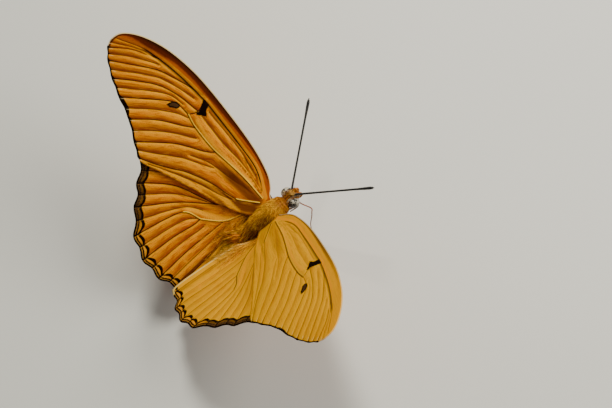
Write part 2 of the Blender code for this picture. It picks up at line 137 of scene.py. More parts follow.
HINDWING = {
    "costa": [
        (-2.9, -0.9), (-3.2, -0.2), (-1.6, 3.0), (-1.9, 8.6), (-3.6, 14.6), (-6.6, 19.6), (-10.7, 22.6),
    ],
    "margin": [
        (-10.7, 22.6), (-14.9, 19.3), (-18.6, 16.2), (-22.9, 11.9), (-25.1, 7.2), (-25.6, 2.3), (-24.7, -1.7),
    ],
    "inner": [
        (-24.7, -1.7), (-23.6, -2.75), (-17.0, -2.7), (-12.0, -2.45), (-9.0, -2.0), (-7.0, -1.5),
        (-5.4, -1.3),
    ],
    "scallop": 0.55,
    "lift": -0.78,
    "camber": 0.0,
    "stems": {"cubitus": 40, "media_3": 15},
    # gold: bands of painted highlight; umber: bands of painted shade, which umber_ends fades out with the
    # distance from the root; each band is a half width and a line
    "gold": [
        (0.75, [(-7.0, 1.3), (-8.9, 3.6), (-10.4, 6.6), (-11.4, 8.6)]),
        (0.3, [(-7.5, -0.2), (-12.0, 0.2), (-18.0, 0.5), (-23.0, 0.45)]),
        (0.45, [(-19.2, 0.2), (-19.3, 1.3)]),
    ],
    "umber": [
        (0.8, [(-4.2, 1.5), (-5.2, 4.5), (-5.9, 8.5), (-7.2, 12.5)]),
        (0.45, [(-12.0, -1.0), (-18.0, -1.1), (-23.5, -1.2)]),
    ],
    "umber_ends": (26.0, 24.0),
    "veins": {
        "radius": [(-3.8, 0.6), (-3.2, 5.6), (-4.3, 11.6), (-6.6, 16.8), (-10.7, 22.6)],
        "media": [(-4.2, 0.6), (-5.6, 4.2), (-7.1, 5.5)],
        "media_1": [(-7.1, 5.5), (-8.1, 8.6), (-9.5, 12.7), (-11.6, 15.9), (-14.9, 19.3)],
        "media_2": [(-7.1, 5.5), (-11.0, 10.0), (-14.0, 12.6), (-18.6, 16.2)],
        "media_3": [(-11.3, 5.4), (-12.4, 8.6), (-16.3, 10.2), (-22.9, 11.9)],
        "cubitus": [(-4.7, 0.4), (-8.3, 2.0), (-11.3, 5.4)],
        "cubitus_1": [(-11.3, 5.4), (-13.2, 5.5), (-17.5, 6.4), (-25.1, 7.2)],
        "cubitus_2": [(-8.3, 2.0), (-13.8, 2.3), (-18.7, 2.5), (-25.6, 2.3)],
        "anal": [(-5.6, 0.2), (-9.0, -0.5), (-12.7, -1.3), (-17.4, -1.5), (-24.7, -1.7)],
    },
    "folds_between": [
        ("radius", "media_1"), ("media_1", "media_2"), ("media_2", "media_3"), ("media_3", "cubitus_1"),
        ("cubitus_1", "cubitus_2"), ("cubitus_2", "anal"),
    ],
    "folds": [
        [(-4.6, 1.9), (-4.8, 5.2), (-6.0, 9.0)],
    ],
}
BAR = [
    (6.35, 22.9), (6.15, 21.3), (5.0, 20.8), (4.1, 19.8), (3.6, 20.8), (2.9, 21.7), (4.1, 21.7), (5.2, 22.3),
]
SPOT = [
    (1.9, 24.7), (2.25, 25.1), (2.25, 25.9), (1.65, 26.6), (1.1, 26.8), (0.4, 27.0), (0.5, 26.2),
    (0.9, 25.6), (1.3, 24.9),
]

# Unwraps, as shares of the map
MAP_MARGIN = 0.01
WALL_MAP = 0.003  # width of a membrane's edge
TUFT_PATCH = 0.003  # size of a tuft
SKIN_MAP_WIDTH = 0.96  # leaves room for the faces that cross the seam

# Skin of the body: forward, half width, top, bottom
SKIN_SECTIONS = [
    (-21.75, 0.10, -5.25, -5.50),
    (-21.3, 0.36, -5.02, -5.75),
    (-20.6, 0.56, -4.74, -5.88),
    (-18.0, 0.92, -4.17, -5.88),
    (-14.5, 1.17, -3.62, -5.78),
    (-11.0, 1.26, -3.03, -5.22),
    (-8.8, 1.18, -2.40, -4.55),
    (-7.2, 1.00, -1.45, -3.60),
    (-6.3, 1.25, -0.75, -3.60),
    (-4.3, 1.82, 0.72, -4.15),
    (-1.8, 2.05, 1.12, -4.35),
    (0.6, 2.00, 0.97, -4.10),
    (2.3, 1.70, 0.22, -3.50),
    (3.0, 1.24, -0.58, -3.00),
    (3.35, 1.18, -0.66, -2.90),
    (3.8, 1.24, -0.54, -2.95),
    (4.5, 1.28, -0.44, -3.05),
    (5.2, 1.18, -0.46, -3.00),
    (5.7, 0.92, -0.70, -2.80),
    (6.0, 0.45, -1.10, -2.40),
    (6.08, 0.08, -1.60, -1.85),
]
SKIN_STEP = 0.14
SKIN_SIDES = 72
NECK = 3.5
ABDOMEN_START = -7.4
SEGMENT_LENGTH = 2.1  # of the abdomen
SEGMENT_LIP = 0.05  # share of the width by which each segment's end overlaps the next
BACK_GROOVE_MIDDLE, BACK_GROOVE_REACH = -1.5, 4.0
BACK_GROOVE_DEPTH, BACK_GROOVE_WIDTH = 0.08, 0.25
COLLAR_BAND_STEP = 0.42

# Fur: cover field, tufts on a square millimetre, length, width, lift, spread, bend, seed
COATS = {
    "thorax_coat": ("thorax_cover", 105.0, 1.0, 0.05, 0.32, 0.26, 0.2, 4),
    "collar_coat": ("collar_cover", 150.0, 0.8, 0.05, 0.4, 0.3, 0.2, 3),
    "abdomen_coat": ("abdomen_cover", 80.0, 0.6, 0.04, 0.2, 0.16, 0.1, 5),
    "head_coat": ("head_cover", 160.0, 0.6, 0.05, 0.7, 0.45, 0.15, 6),
    "flank_coat": ("flank_cover", 300.0, 0.75, 0.026, 0.3, 0.35, 0.15, 12),
}
HINDWING_HAIR = ("hair_cover", 50.0, 2.5, 0.055, 0.2, 0.24, 0.1)
HINDWING_HAIR_SEEDS = {"left": 10, "right": 8}
PALP_BRUSH = ("palp_cover", 500.0, 0.45, 0.05, 0.3, 0.25, 0.1)
PALP_BRUSH_SEEDS = {"left": 8, "right": 7}

# Head parts: forward, sideways, up
EYE_CENTRE = (4.42, 1.3, -1.75)
EYE_HALF_SIZE = (1.12, 0.95, 1.2)
EYE_RINGS, EYE_SIDES = 40, 56
EYE_REARWARDS = (-0.85, 0.0, -0.3)  # the direction in which an eye gets darker, from its painted highlight in front to a painted reflection at the rear
ANTENNA_BASE = (5.6, 0.42, -0.62)
ANTENNA_TIP = (19.4, 10.9, 2.8)
ANTENNA_RADII = [
    (0.0, 0.24), (0.02, 0.24), (0.04, 0.22), (0.5, 0.2), (0.8, 0.22), (0.9, 0.29), (0.96, 0.32),
    (0.99, 0.24), (1.0, 0.12),
]
ANTENNA_RING = 0.34
ANTENNA_SIDES = 14
RING_FLARE = 0.9
RING_OVERLAP = 1.06
PALP_PATH = [(5.5, 0.5, -3.1), (6.1, 0.58, -2.85), (6.38, 0.57, -2.3), (6.42, 0.54, -1.75), (6.28, 0.5, -1.3)]
PALP_RADII = [0.24, 0.27, 0.26, 0.19, 0.07]
PALP_SIDES = 18
PALP_PALE_SIDES = (3, 4, 5)
PROBOSCIS_PATH = [
    (5.0, 0.0, -3.1), (5.2, 0.0, -3.55), (4.9, -1.3, -3.85), (5.95, -3.4, -4.2), (5.4, -3.95, -4.9),
    (4.7, -4.1, -6.0), (3.2, -4.35, -8.0), (2.4, -4.6, -9.6),
]
PROBOSCIS_RADIUS = 0.13
PROBOSCIS_TAPER = 0.35
PROBOSCIS_RIB = 0.06
PROBOSCIS_RIB_STEPS = 3

# Legs: coxa and hip in the body's frame, knee and ankle in the model's, heel and toe without a height
WALKING_LEGS = {
    "midleg": [
        (0.3, 1.0, -3.7), (0.2, 1.25, -4.95), (1.4, 5.8, 6.6), (0.6, 9.4, 1.7), (0.4, 10.2), (0.2, 12.6),
    ],
    "hindleg": [
        (-3.1, 1.0, -3.7), (-3.3, 1.25, -5.0), (-8.2, 5.4, 6.4), (-12.6, 8.0, 1.7), (-13.6, 8.5),
        (-16.6, 9.4),
    ],
}
LEG_SPANS = {"coxa": 6, "thigh": 30, "shin": 30, "ankle": 6, "foot": 41}
COXA_RADII = (0.5, 0.36)
THIGH_RADIUS, THIGH_SWELL = 0.2, 0.14
SHIN_RADIUS, SHIN_SWELL = 0.15, 0.03
ANKLE_RADII = (0.16, 0.13)
TARSUS_RADIUS = 0.15
TARSUS_JOINTS = 5
TOE_RADIUS = 0.04
CLAW_LENGTH, CLAW_RADIUS = 0.34, 0.05
FORELEG_PATH = [(2.3, 0.75, -3.3), (2.6, 0.8, -4.1), (4.1, 0.95, -4.75), (3.4, 0.9, -5.5), (1.9, 0.75, -5.35)]
FORELEG_RADII = (0.24, 0.1)
LEG_SIDES = 14

# Studio
VIEW_RIGHT = Vector((0.745, -0.544, -0.386))  # the picture's axes, as forward, left and up
VIEW_UP = Vector((0.631, 0.763, 0.143))
VIEW_BACK = Vector((0.216, -0.350, 0.911))
VIEW_CENTRE = (7.09, 1.39)  # of the picture from the wing roots, in millimetres
VIEW_DISTANCE = 500.0
VIEW_LENS = 154.7
SENSOR = 36.0
LIGHTS = [  # name, direction, size and distance in metres, power, tint
    ("key", (0.53, 0.44, 0.72), 0.1, 0.5, 1.95, (1.0, 0.95, 0.82)),
    ("fill", (0.85, -0.35, 0.5), 0.25, 0.5, 2.15, (1.0, 0.95, 0.84)),
]
SKY = (1.0, 0.98, 0.94, 1.0)
SKY_STRENGTH = 0.14

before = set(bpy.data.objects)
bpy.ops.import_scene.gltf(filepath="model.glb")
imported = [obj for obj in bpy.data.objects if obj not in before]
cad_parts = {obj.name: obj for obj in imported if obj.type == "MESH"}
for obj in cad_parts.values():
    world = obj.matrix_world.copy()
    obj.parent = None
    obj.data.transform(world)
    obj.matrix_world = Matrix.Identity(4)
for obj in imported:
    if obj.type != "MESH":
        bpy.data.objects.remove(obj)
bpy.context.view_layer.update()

STANCE = Matrix.Translation(Vector((*BODY_SHIFT, HINGE_HEIGHT)) * MM) @ Matrix.Rotation(-BODY_PITCH, 4, "X")


def rgb(red, green, blue):
    """A colour from its usual 0 to 255 values."""
    shares = np.array((red, green, blue)) / 255
    linear = np.where(shares <= 0.04045, shares / 12.92, ((shares + 0.055) / 1.055) ** 2.4)
    return (*[float(value) for value in linear], 1.0)


def body_points(places):
    """Model-frame points in metres from forward, sideways and up in the body's frame."""
    places = np.atleast_2d(np.array(places, float))
    points = np.column_stack([places[:, 1], -places[:, 0], places[:, 2]]) * MM
    return points @ np.array(STANCE.to_3x3()).T + np.array(STANCE.translation)


def body_directions(directions):
    """The same for directions, which keep their length."""
    directions = np.atleast_2d(np.array(directions, float))
    turned = np.column_stack([directions[:, 1], -directions[:, 0], directions[:, 2]])
    return turned @ np.array(STANCE.to_3x3()).T


def eased(value, start, end):
    """A smooth step from 0 at the start to 1 at the end."""
    share = np.clip((value - start) / (end - start), 0.0, 1.0)
    return share**2 * (3 - 2 * share)


# Lines and distances


def smooth_line(points, step):
    """A Catmull-Rom curve through the points, with a place at about every step."""
    points = np.array(points, float)
    padded = np.vstack([2 * points[0] - points[1], points, 2 * points[-1] - points[-2]])
    line = []
    for before, start, end, after in zip(padded, padded[1:], padded[2:], padded[3:]):
        spans = max(1, round(float(np.linalg.norm(end - start)) / step))
        for t in np.arange(spans) / spans:
            bend = (2 * before - 5 * start + 4 * end - after) * t**2
            turn = (3 * start - before - 3 * end + after) * t**3
            line.append(start + ((end - before) * t + bend + turn) / 2)
    return np.array([*line, points[-1]])


def scalloped(ends, depth, step):
    """The outer margin through the vein ends, drawn in between each two of them."""
    curve = smooth_line(ends, 0.02)
    marks = [int(np.argmin(np.linalg.norm(curve - end, axis=1))) for end in np.array(ends)]
    line = []
    for first, last in zip(marks, marks[1:]):
        chord = curve[last] - curve[first]
        length = float(np.linalg.norm(chord))
        inward = np.array((-chord[1], chord[0])) / length
        spans = round(length / step)
        for k in range(spans):
            here = curve[first + round(k / spans * (last - first))]
            line.append(here + inward * depth * math.sin(math.pi * k / spans) ** 2)
    return np.array([*line, curve[-1]])


def nearest_on(points, line):
    """Distance from each point to a line, and on which side of it each lies."""
    nearest = np.full(len(points), np.inf)
    side = np.ones(len(points))
    for start, end in zip(line, line[1:]):
        along = end - start
        off = points - start
        share = np.clip(off @ along / (along @ along), 0, 1)
        gap = np.linalg.norm(off - share[:, None] * along, axis=1)
        closer = gap < nearest
        nearest[closer] = gap[closer]
        turned = (along[0] * off[closer, 1] - along[1] * off[closer, 0]) / np.linalg.norm(along)
        side[closer] = np.sign(turned + 1e-4)
    return nearest, side


def distance(points, lines):
    """From each point to the nearest of the lines."""
    return np.min([nearest_on(points, line)[0] for line in lines], axis=0)


def band_cover(points, bands):
    """1 in the middle of each band, a line with a half width, and 0 at its edges."""
    lines = [(half, distance(points, [smooth_line(line, LINE_STEP)])) for half, line in bands]
    return np.max([eased(gap, half, half * 0.4) for half, gap in lines], axis=0)


def inside(points, outline):
    """Whether each point lies inside an outline, by the edges that a line from it crosses."""
    crossed = np.zeros(len(points), bool)
    for start, end in zip(outline, np.roll(outline, -1, axis=0)):
        spans = (start[1] > points[:, 1]) != (end[1] > points[:, 1])
        rise = end[1] - start[1] if end[1] != start[1] else 1.0
        crossed ^= spans & (points[:, 0] < start[0] + (points[:, 1] - start[1]) / rise * (end[0] - start[0]))
    return crossed


def patch_distance(points, corners):
    """Distance to a patch's rim, less than nothing inside the patch."""
    rim = np.array([*corners, corners[0]], float)
    gap = nearest_on(points, rim)[0]
    return np.where(inside(points, rim[:-1]), -gap, gap)


def from_margin(line, places):
    """Points on a line at these distances back from its last point."""
    steps = np.linalg.norm(np.diff(line, axis=0), axis=1)
    walked = np.concatenate([[0], np.cumsum(steps[::-1])])
    backwards = line[::-1]
    return np.column_stack([np.interp(places, walked, backwards[:, axis]) for axis in (0, 1)])


def fold_between(first, second):
    """The crease midway between two veins, out to the margin."""
    lengths = [float(np.linalg.norm(np.diff(line, axis=0), axis=1).sum()) for line in (first, second)]
    places = np.arange(0, min(lengths) * 0.97, LINE_STEP)
    middle = (from_margin(first, places) + from_margin(second, places)) / 2
    beyond = middle[0] + (middle[0] - middle[2]) * 1.2
    return np.vstack([beyond, middle])[::-1]


# Wing sheets


class Sheet:
    """One wing laid flat: its triangles and how far each point is from what marks it."""

    def __init__(self, plan):
        self.plan = plan
        front = smooth_line(plan["costa"], OUTLINE_STEP)
        outer = scalloped(plan["margin"], plan["scallop"], OUTLINE_STEP)
        rear = smooth_line(plan["inner"], OUTLINE_STEP)
        self.outline = np.vstack([front, outer[1:], rear[1:]])
        self.veins = {name: smooth_line(line, LINE_STEP) for name, line in plan["veins"].items()}
        self.folds = [fold_between(self.veins[a], self.veins[b]) for a, b in plan["folds_between"]]
        self.folds += [smooth_line(line, LINE_STEP) for line in plan["folds"]]
        self.border = np.vstack([self.outline, self.outline[:1]])
        self.flat, self.triangles = self.cut()
        self.measure(front, outer, rear)

    def kept(self, points, veins=0.0, folds=0.0, border=0.12):
        """Which of the points are inside, and this clear of the veins, folds and border."""
        clear = inside(points, self.outline) & (distance(points, [self.border]) > border)
        clear &= distance(points, self.veins.values()) >= veins
        return clear & (distance(points, self.folds) >= folds)

    def cut(self):
        """The triangles, with edges along every vein, fold and border."""
        points, edges = [self.outline], []
        count = len(self.outline)
        edges += [(i, (i + 1) % count) for i in range(count)]
        for lines, veins in ((self.veins.values(), 0.0), (self.folds, 0.3)):
            for line in lines:
                clear = self.kept(line, veins=veins)
                numbers = count + np.cumsum(clear) - 1
                edges += [(int(a), int(a) + 1) for a, b, c in zip(numbers, clear, clear[1:]) if b and c]
                points.append(line[clear])
                count += int(clear.sum())
        for lines, flank, veins, folds in (
            (self.veins.values(), VEIN_FLANK, VEIN_FLANK * 0.9, 0.0),
            (self.folds, FOLD_FLANK, 0.3, FOLD_FLANK * 0.9),
        ):
            for line in lines:
                along = np.gradient(line, axis=0)
                along /= np.linalg.norm(along, axis=1)[:, None]
                across = np.column_stack([-along[:, 1], along[:, 0]]) * flank
                both = np.vstack([line + across, line - across])
                points.append(both[self.kept(both, veins=veins, folds=folds)])
        low, high = self.outline.min(axis=0), self.outline.max(axis=0)
        ahead = np.arange(low[0], high[0], LATTICE)
        outward = np.arange(low[1], high[1], LATTICE * 0.87)
        lattice = np.array([(a + LATTICE / 2 * (k % 2), b) for k, b in enumerate(outward) for a in ahead])
        clear = self.kept(lattice, veins=VEIN_FLANK + 0.14, folds=FOLD_FLANK + 0.14, border=0.16)
        points.append(lattice[clear])
        points = np.vstack(points)
        flat, _, triangles, *_ = delaunay_2d_cdt([Vector(p) for p in points.tolist()], edges, [], 1, 1e-5)
        return np.array(flat), np.array(triangles)

    def measure(self, front, outer, rear):
        """The fields that the finishes read, and the relief of both faces."""
        flat = self.flat
        vein, fold = distance(flat, self.veins.values()), distance(flat, self.folds)
        lines = [line for name, line in self.veins.items() if name != "cell_end"] + self.folds
        after, before = self.between(lines)
        stems = [self.veins[name][:count] for name, count in self.plan["stems"].items()]
        stem_after, stem_before = self.between(stems)
        root = np.linalg.norm(flat - flat[np.argmin(np.abs(flat).sum(axis=1))], axis=1)
        across = vein / np.maximum(vein + fold, 1e-3)
        self.fields = {
            "gap": vein,
            "fold": fold,
            "after": after,
            "cell": after / np.maximum(after + before, 1e-3),
            "stem_behind": stem_after,
            "stem_ahead": stem_before,
            "rim": distance(flat, [outer]),
            "costa": distance(flat, [front]),
            "inner_rim": distance(flat, [rear]),
            "across": across,
            "root": root,
            # painted highlight bands, and painted shade bands
            "gold": band_cover(flat, self.plan["gold"]),
            "umber": band_cover(flat, self.plan["umber"]) * eased(root, *self.plan["umber_ends"]),
        }
        if "cell_end" in self.veins:
            gap, side = nearest_on(flat, self.veins["radius"])
            self.fields["before_radius"] = -gap * side
            self.fields["bar"] = patch_distance(flat, BAR)
            self.fields["spot"] = patch_distance(flat, SPOT)
        stem = np.minimum(stem_after, stem_before)
        pleat = PLEAT_SLOPE * (np.minimum(fold, PLEAT_WIDTH) - np.minimum(vein, PLEAT_WIDTH)) / 2
        near, far = PLEAT_SHARE
        pleat = np.clip(pleat, -PLEAT_LIMIT, PLEAT_LIMIT) * (near + (far - near) * eased(root, 8.0, 18.0))
        quilt = QUILT * 4 * across * (1 - across) * np.minimum(vein + fold, QUILT_WIDTH)
        quilt *= eased(root, 5.0, 14.0)
        edge = np.minimum(distance(flat, [self.border]) / 0.8, 1.0)
        sway = SWAY * np.sin(flat[:, 1] * 0.9 + np.sin(flat[:, 0] * 0.7)) * edge
        self.relief = (pleat + quilt) * eased(root, 1.0, 5.0) + sway
        if self.plan is HINDWING:
            self.relief *= 0.45 + 0.55 * eased(self.fields["costa"], 3.0, 5.5)
        near_stem = np.exp(-((stem / VEIN_SPREAD) ** 2)) * eased(root, 26.0, 18.0)
        groove = VEIN_GROOVE * np.exp(-vein / VEIN_SPREAD) * (1 - near_stem) * eased(root, 2.0, 7.0)
        crease = CREASE_DEPTH * np.exp(-fold / CREASE_SPREAD)
        self.ridge = STEM_RIDGE * near_stem - groove - crease
        self.under = VEIN_UNDERSIDE * np.exp(-((vein / UNDERSIDE_SPREAD) ** 2)) - crease

    def between(self, lines):
        """Distance to the nearest line before each point, and to the nearest one behind it."""
        gaps, sides = (np.array(values) for values in zip(*[nearest_on(self.flat, line) for line in lines]))
        on = gaps < 1e-3
        return [np.where(facing | on, gaps, FAR_LINE).min(axis=0) for facing in (sides > 0, sides < 0)]

    def placed(self, side, off, flat=None):
        """The flat points set on the raised, turned and curled wing plane, this far off it."""
        forward, outward = (self.flat if flat is None else flat).T
        plan, sign = self.plan, SIDES[side]
        middle = (self.outline[:, 0].max() + self.outline[:, 0].min()) / 2
        half = (self.outline[:, 0].max() - self.outline[:, 0].min()) / 2
        off = off + plan["lift"] + plan["camber"] * (1 - ((forward - middle) / half) ** 2)
        turn, level = WING_TURN[side], WING_RISE[side]
        ahead = forward * math.cos(turn) - outward * math.sin(turn) + WING_SLIDE[side][0]
        out = forward * math.sin(turn) + outward * math.cos(turn) + WING_SLIDE[side][1]
        across = WING_ROOT + out * math.cos(level)
        up = out * math.sin(level)
        rise = np.full(len(out), level)
        if plan is HINDWING:
            off = off + CURL[side] * eased(forward, CURL_START, CURL_END)
            bending = (TROUGH_RISE[side] - level) * eased(ahead, *TROUGH_FRONT)
            bent = (out < TROUGH_START) & (np.abs(bending) > 1e-3)
            bend = np.where(bent, bending, 1.0) / (TROUGH_START - TROUGH_END)
            arc = np.clip(TROUGH_START - out, 0, TROUGH_START - TROUGH_END)
            straight = TROUGH_START - out - arc
            inner = level + bend * arc
            sideways = (np.sin(inner) - math.sin(level)) / bend + straight * np.cos(inner)
            drop = (math.cos(level) - np.cos(inner)) / bend + straight * np.sin(inner)
            across = np.where(bent, WING_ROOT + TROUGH_START * math.cos(level) - sideways, across)
            up = np.where(bent, TROUGH_START * math.sin(level) - drop, up)
            rise = np.where(bent, inner, rise)
        left = sign * (across - off * np.sin(rise))
        return body_points(np.column_stack([ahead, left, up + off * np.cos(rise)]))


def mesh_piece(name, points, faces, finishes, numbers=None):
    """A smooth mesh object at the origin, with its finishes and each face's finish number."""
    mesh = bpy.data.meshes.new(name)
    mesh.from_pydata(np.asarray(points).tolist(), [], [tuple(face) for face in faces])
    for finish in finishes:
        mesh.materials.append(finish)
    if numbers is not None:
        mesh.polygons.foreach_set("material_index", np.asarray(numbers, np.int32))
    mesh.shade_smooth()
    mesh.update()
    obj = bpy.data.objects.new(name, mesh)
    bpy.context.scene.collection.objects.link(obj)
    return obj


def write_field(mesh, name, values):
    """Stores one number, vector or colour for each point."""
    values = np.asarray(values, np.float32)
    kind, key = {1: ("FLOAT", "value"), 3: ("FLOAT_VECTOR", "vector"), 4: ("FLOAT_COLOR", "color")}[
        1 if values.ndim == 1 else values.shape[1]
    ]
    mesh.attributes.new(name, kind, "POINT").data.foreach_set(key, values.ravel())


def write_map(mesh, corner_places):
    """Stores the unwrap that a baked finish uses."""
    layer = mesh.uv_layers.new(name="OFBake")
    layer.data.foreach_set("uv", np.asarray(corner_places, np.float32).ravel())


def make_wing(name, side, sheet, finishes):
    """A thin closed membrane, scaled above and below, with its veins raised in the lower face and sunk in the
    upper one, where only the main stems near the root are raised.
    """
    triangles = sheet.triangles
    count = len(sheet.flat)
    relief = sheet.relief * SURFACE[side]
    upper = sheet.placed(side, relief + MEMBRANE / 2 + sheet.ridge * SURFACE[side])
    lower = sheet.placed(side, relief - MEMBRANE / 2 - UNDERSIDE_DROP - sheet.under * SURFACE[side])
    ends = np.concatenate([triangles[:, [0, 1]], triangles[:, [1, 2]], triangles[:, [2, 0]]])
    single = {}
    for start, end in ends.tolist():
        key = frozenset((start, end))
        single[key] = None if key in single else (start, end)
    border = np.array([pair for pair in single.values() if pair])
    above, below = triangles, triangles[:, ::-1] + count
    walls = np.column_stack([border[:, 1], border[:, 0], border[:, 0] + count, border[:, 1] + count])
    if side == "left":
        above, below, walls = above[:, ::-1], below[:, ::-1], walls[:, ::-1]
    faces = above.tolist() + below.tolist() + walls.tolist()
    numbers = [0] * len(above) + [1] * len(below) + [0] * len(walls)
    wing = mesh_piece(f"{name}_{side}_membrane", np.vstack([upper, lower]), faces, finishes, numbers)
    for field, values in sheet.fields.items():
        write_field(wing.data, field, np.tile(values, 2))
    flat = np.column_stack([sheet.flat, np.zeros(count)])
    write_field(wing.data, "flat", np.tile(flat, (2, 1)))
    if sheet.plan is HINDWING:
        describe_base_hair(wing.data, side, sheet)
    low = sheet.flat.min(axis=0) - 0.5
    size = sheet.flat.max(axis=0) + 0.5 - low
    spread = (sheet.flat - low) / size * (0.5 - 2 * MAP_MARGIN, 1 - 2 * MAP_MARGIN) + MAP_MARGIN
    top = spread[:, ::-1]
    bottom = top + (0, 0.5)
    outwards = (sheet.flat - sheet.flat.mean(axis=0))[:, ::-1]
    outwards /= np.linalg.norm(outwards, axis=1)[:, None]
    wall_map = np.vstack([top, top + outwards * WALL_MAP])
    corners = np.vstack([top, bottom])
    maps = ((corners, above), (corners, below), (wall_map, walls))
    write_map(wing.data, np.vstack([places[group].reshape(-1, 2) for places, group in maps]))
    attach(wing, "root")
    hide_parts(f"{name}_{side}")
    return wing


def describe_base_hair(mesh, side, sheet):
    """The long hair over the inner half of a hindwing: its cover, its lie and its colours."""
    forward, outward = sheet.flat.T
    cover = eased(outward, 3.4, 0.6) * eased(forward, -16.0, -9.0)
    cover = np.maximum(cover, eased(sheet.fields["root"], 6.5, 3.5))
    if side == "right":
        cover *= eased(outward, 0.6, -0.8)
    nothing = np.zeros(len(cover))
    write_field(mesh, "hair_cover", np.concatenate([cover, nothing]))
    write_field(mesh, "long", np.concatenate([0.45 + 0.55 * eased(outward, 3.0, -1.0), nothing]))
    inner = eased(outward, -0.6, -2.0)
    sideways = 0.02 + 0.05 * eased(outward, -1.0, 3.0) - 0.09 * inner
    step = sheet.flat + np.column_stack([nothing - 0.1, sideways])
    lie = sheet.placed(side, sheet.relief, step) - sheet.placed(side, sheet.relief)
    lie /= np.linalg.norm(lie, axis=1)[:, None]
    write_field(mesh, "lie", np.tile(lie, (2, 1)))
    pelt = np.tile(np.array(HAIR_ORANGE), (len(cover), 1))
    pelt = painted(pelt, inner * eased(forward, -7.5, -9.5), HAIR_GOLD)
    write_field(mesh, "pelt", np.tile(pelt, (2, 1)))


def painted(ground, share, colour):
    """The ground with a colour laid over it by share."""
    return ground * (1 - share[:, None]) + np.array(colour) * share[:, None]


# Nodes


class Nodes:
    """A tree of nodes as it is made, with short calls for what it needs."""

    def made(self, kind, feeds=None, **settings):
        node = self.tree.nodes.new(kind)
        for key, value in settings.items():
            setattr(node, key, value)
        for socket, value in (feeds or {}).items():
            self.feed(value, node.inputs[socket])
        return node

    def feed(self, value, socket):
        """Joins an output to a socket, or sets the socket to a plain value."""
        if isinstance(value, bpy.types.NodeSocket):
            self.tree.links.new(value, socket)
        else:
            socket.default_value = value

    def math(self, operation, *values):
        return self.made("ShaderNodeMath", dict(enumerate(values)), operation=operation).outputs[0]

    def product(self, first, *others):
        for other in others:
            first = self.math("MULTIPLY", first, other)
        return first

    def total(self, first, *others):
        for other in others:
            first = self.math("ADD", first, other)
        return first

    def less(self, value, part):
        return self.math("SUBTRACT", value, part)

    def parts(self, place):
        """The three numbers of a place, by the names X, Y and Z."""
        return self.made("ShaderNodeSeparateXYZ", {"Vector": place}).outputs

    def joined(self, **numbers):
        return self.made("ShaderNodeCombineXYZ", numbers).outputs[0]


# Finishes

# Grounds and lines of the wings
ORANGE = rgb(232, 130, 0)
BRIGHT_ORANGE = rgb(252, 168, 0)
DEEP_ORANGE = rgb(176, 78, 0)
GOLD = rgb(255, 180, 4)
# Gold laid over the right side's upper wings, painted light for the fuller light on them
LIT_SIDE_GOLD = rgb(250, 196, 0)
LIT_SIDE_FRONT_GOLD = rgb(250, 188, 0)
YELLOW = rgb(255, 206, 60)
INNER_EDGE_HIGHLIGHT = rgb(255, 222, 120)
CREAM_AND_HIGHLIGHT = rgb(250, 224, 160)
TAN = rgb(214, 152, 60)
TAWNY = rgb(224, 156, 80)
PINKISH = rgb(206, 130, 80)
RUST = rgb(158, 66, 0)
UMBER = rgb(112, 54, 0)
LINE_BROWN = rgb(74, 26, 2)
RED_BROWN = rgb(92, 30, 4)
SOOT_AND_SHEEN = rgb(92, 64, 38)
BLACK = rgb(22, 12, 8)
# Fur
THORAX_GOLD = rgb(255, 188, 14)
THORAX_DARK_AND_SHADE = rgb(104, 58, 8)
COLLAR_ORANGE = rgb(228, 142, 12)
COLLAR_BAND = rgb(84, 34, 6)
ABDOMEN_ORANGE = rgb(214, 124, 10)
FLANK_GOLD = rgb(255, 198, 50)
HEAD_ORANGE = rgb(234, 140, 10)
HEAD_STRIPES = [  # distance from the middle, half width, colour
    (0.0, 0.12, rgb(96, 40, 6)), (0.72, 0.12, rgb(250, 236, 200)), (0.5, 0.07, rgb(80, 32, 8)),
]
FEELER_BASE = rgb(255, 206, 110)
BELLY = rgb(222, 186, 130)
THROAT = rgb(240, 226, 196)
PALP_ORANGE = rgb(228, 130, 20)
PALP_PALE = rgb(250, 240, 220)
HAIR_ORANGE = rgb(240, 156, 10)
HAIR_GOLD = rgb(255, 202, 66)
CHITINS = {  # dark, light, fineness of the mottling
    "feeler_black": (rgb(4, 4, 6), rgb(14, 11, 11), 1600.0),
    "leg_chitin": (rgb(60, 30, 12), rgb(128, 74, 30), 1400.0),
    "proboscis_chitin": (rgb(120, 46, 22), rgb(168, 84, 44), 2000.0),
}
# Eyes and floor
EYE_DARK = rgb(92, 86, 72)
EYE_HIGHLIGHT = rgb(192, 184, 166)
EYE_BLOTCH = rgb(14, 12, 16)
EYE_REAR = rgb(10, 14, 44)
FLOOR_GREY = rgb(226, 228, 224)
FLOOR_PALE = rgb(234, 235, 232)

BOLDNESS = {"left": 1.0, "right": 0.38}  # of the lines and of the painted shade and highlights between them; the right side's paler copy is painted light, for the fuller light on that wing
EDGING = {"left": 1.0, "right": 0.55}  # of the dark along the front and outer edges; the right side's weaker copy is painted light, for the fuller light on that wing
FRONT_BAND = 0.6  # width of the dark front band at the wing's root
FRONT_BAND_STEPS = [(4.0, 24.0, 0.75), (31.0, 35.0, 0.4), (37.0, 43.0, -1.25)]  # from, to, gain in width
LIGHT_THROUGH = {"upper": 0.2, "under": 0.3}  # shares of the light that a membrane lets through


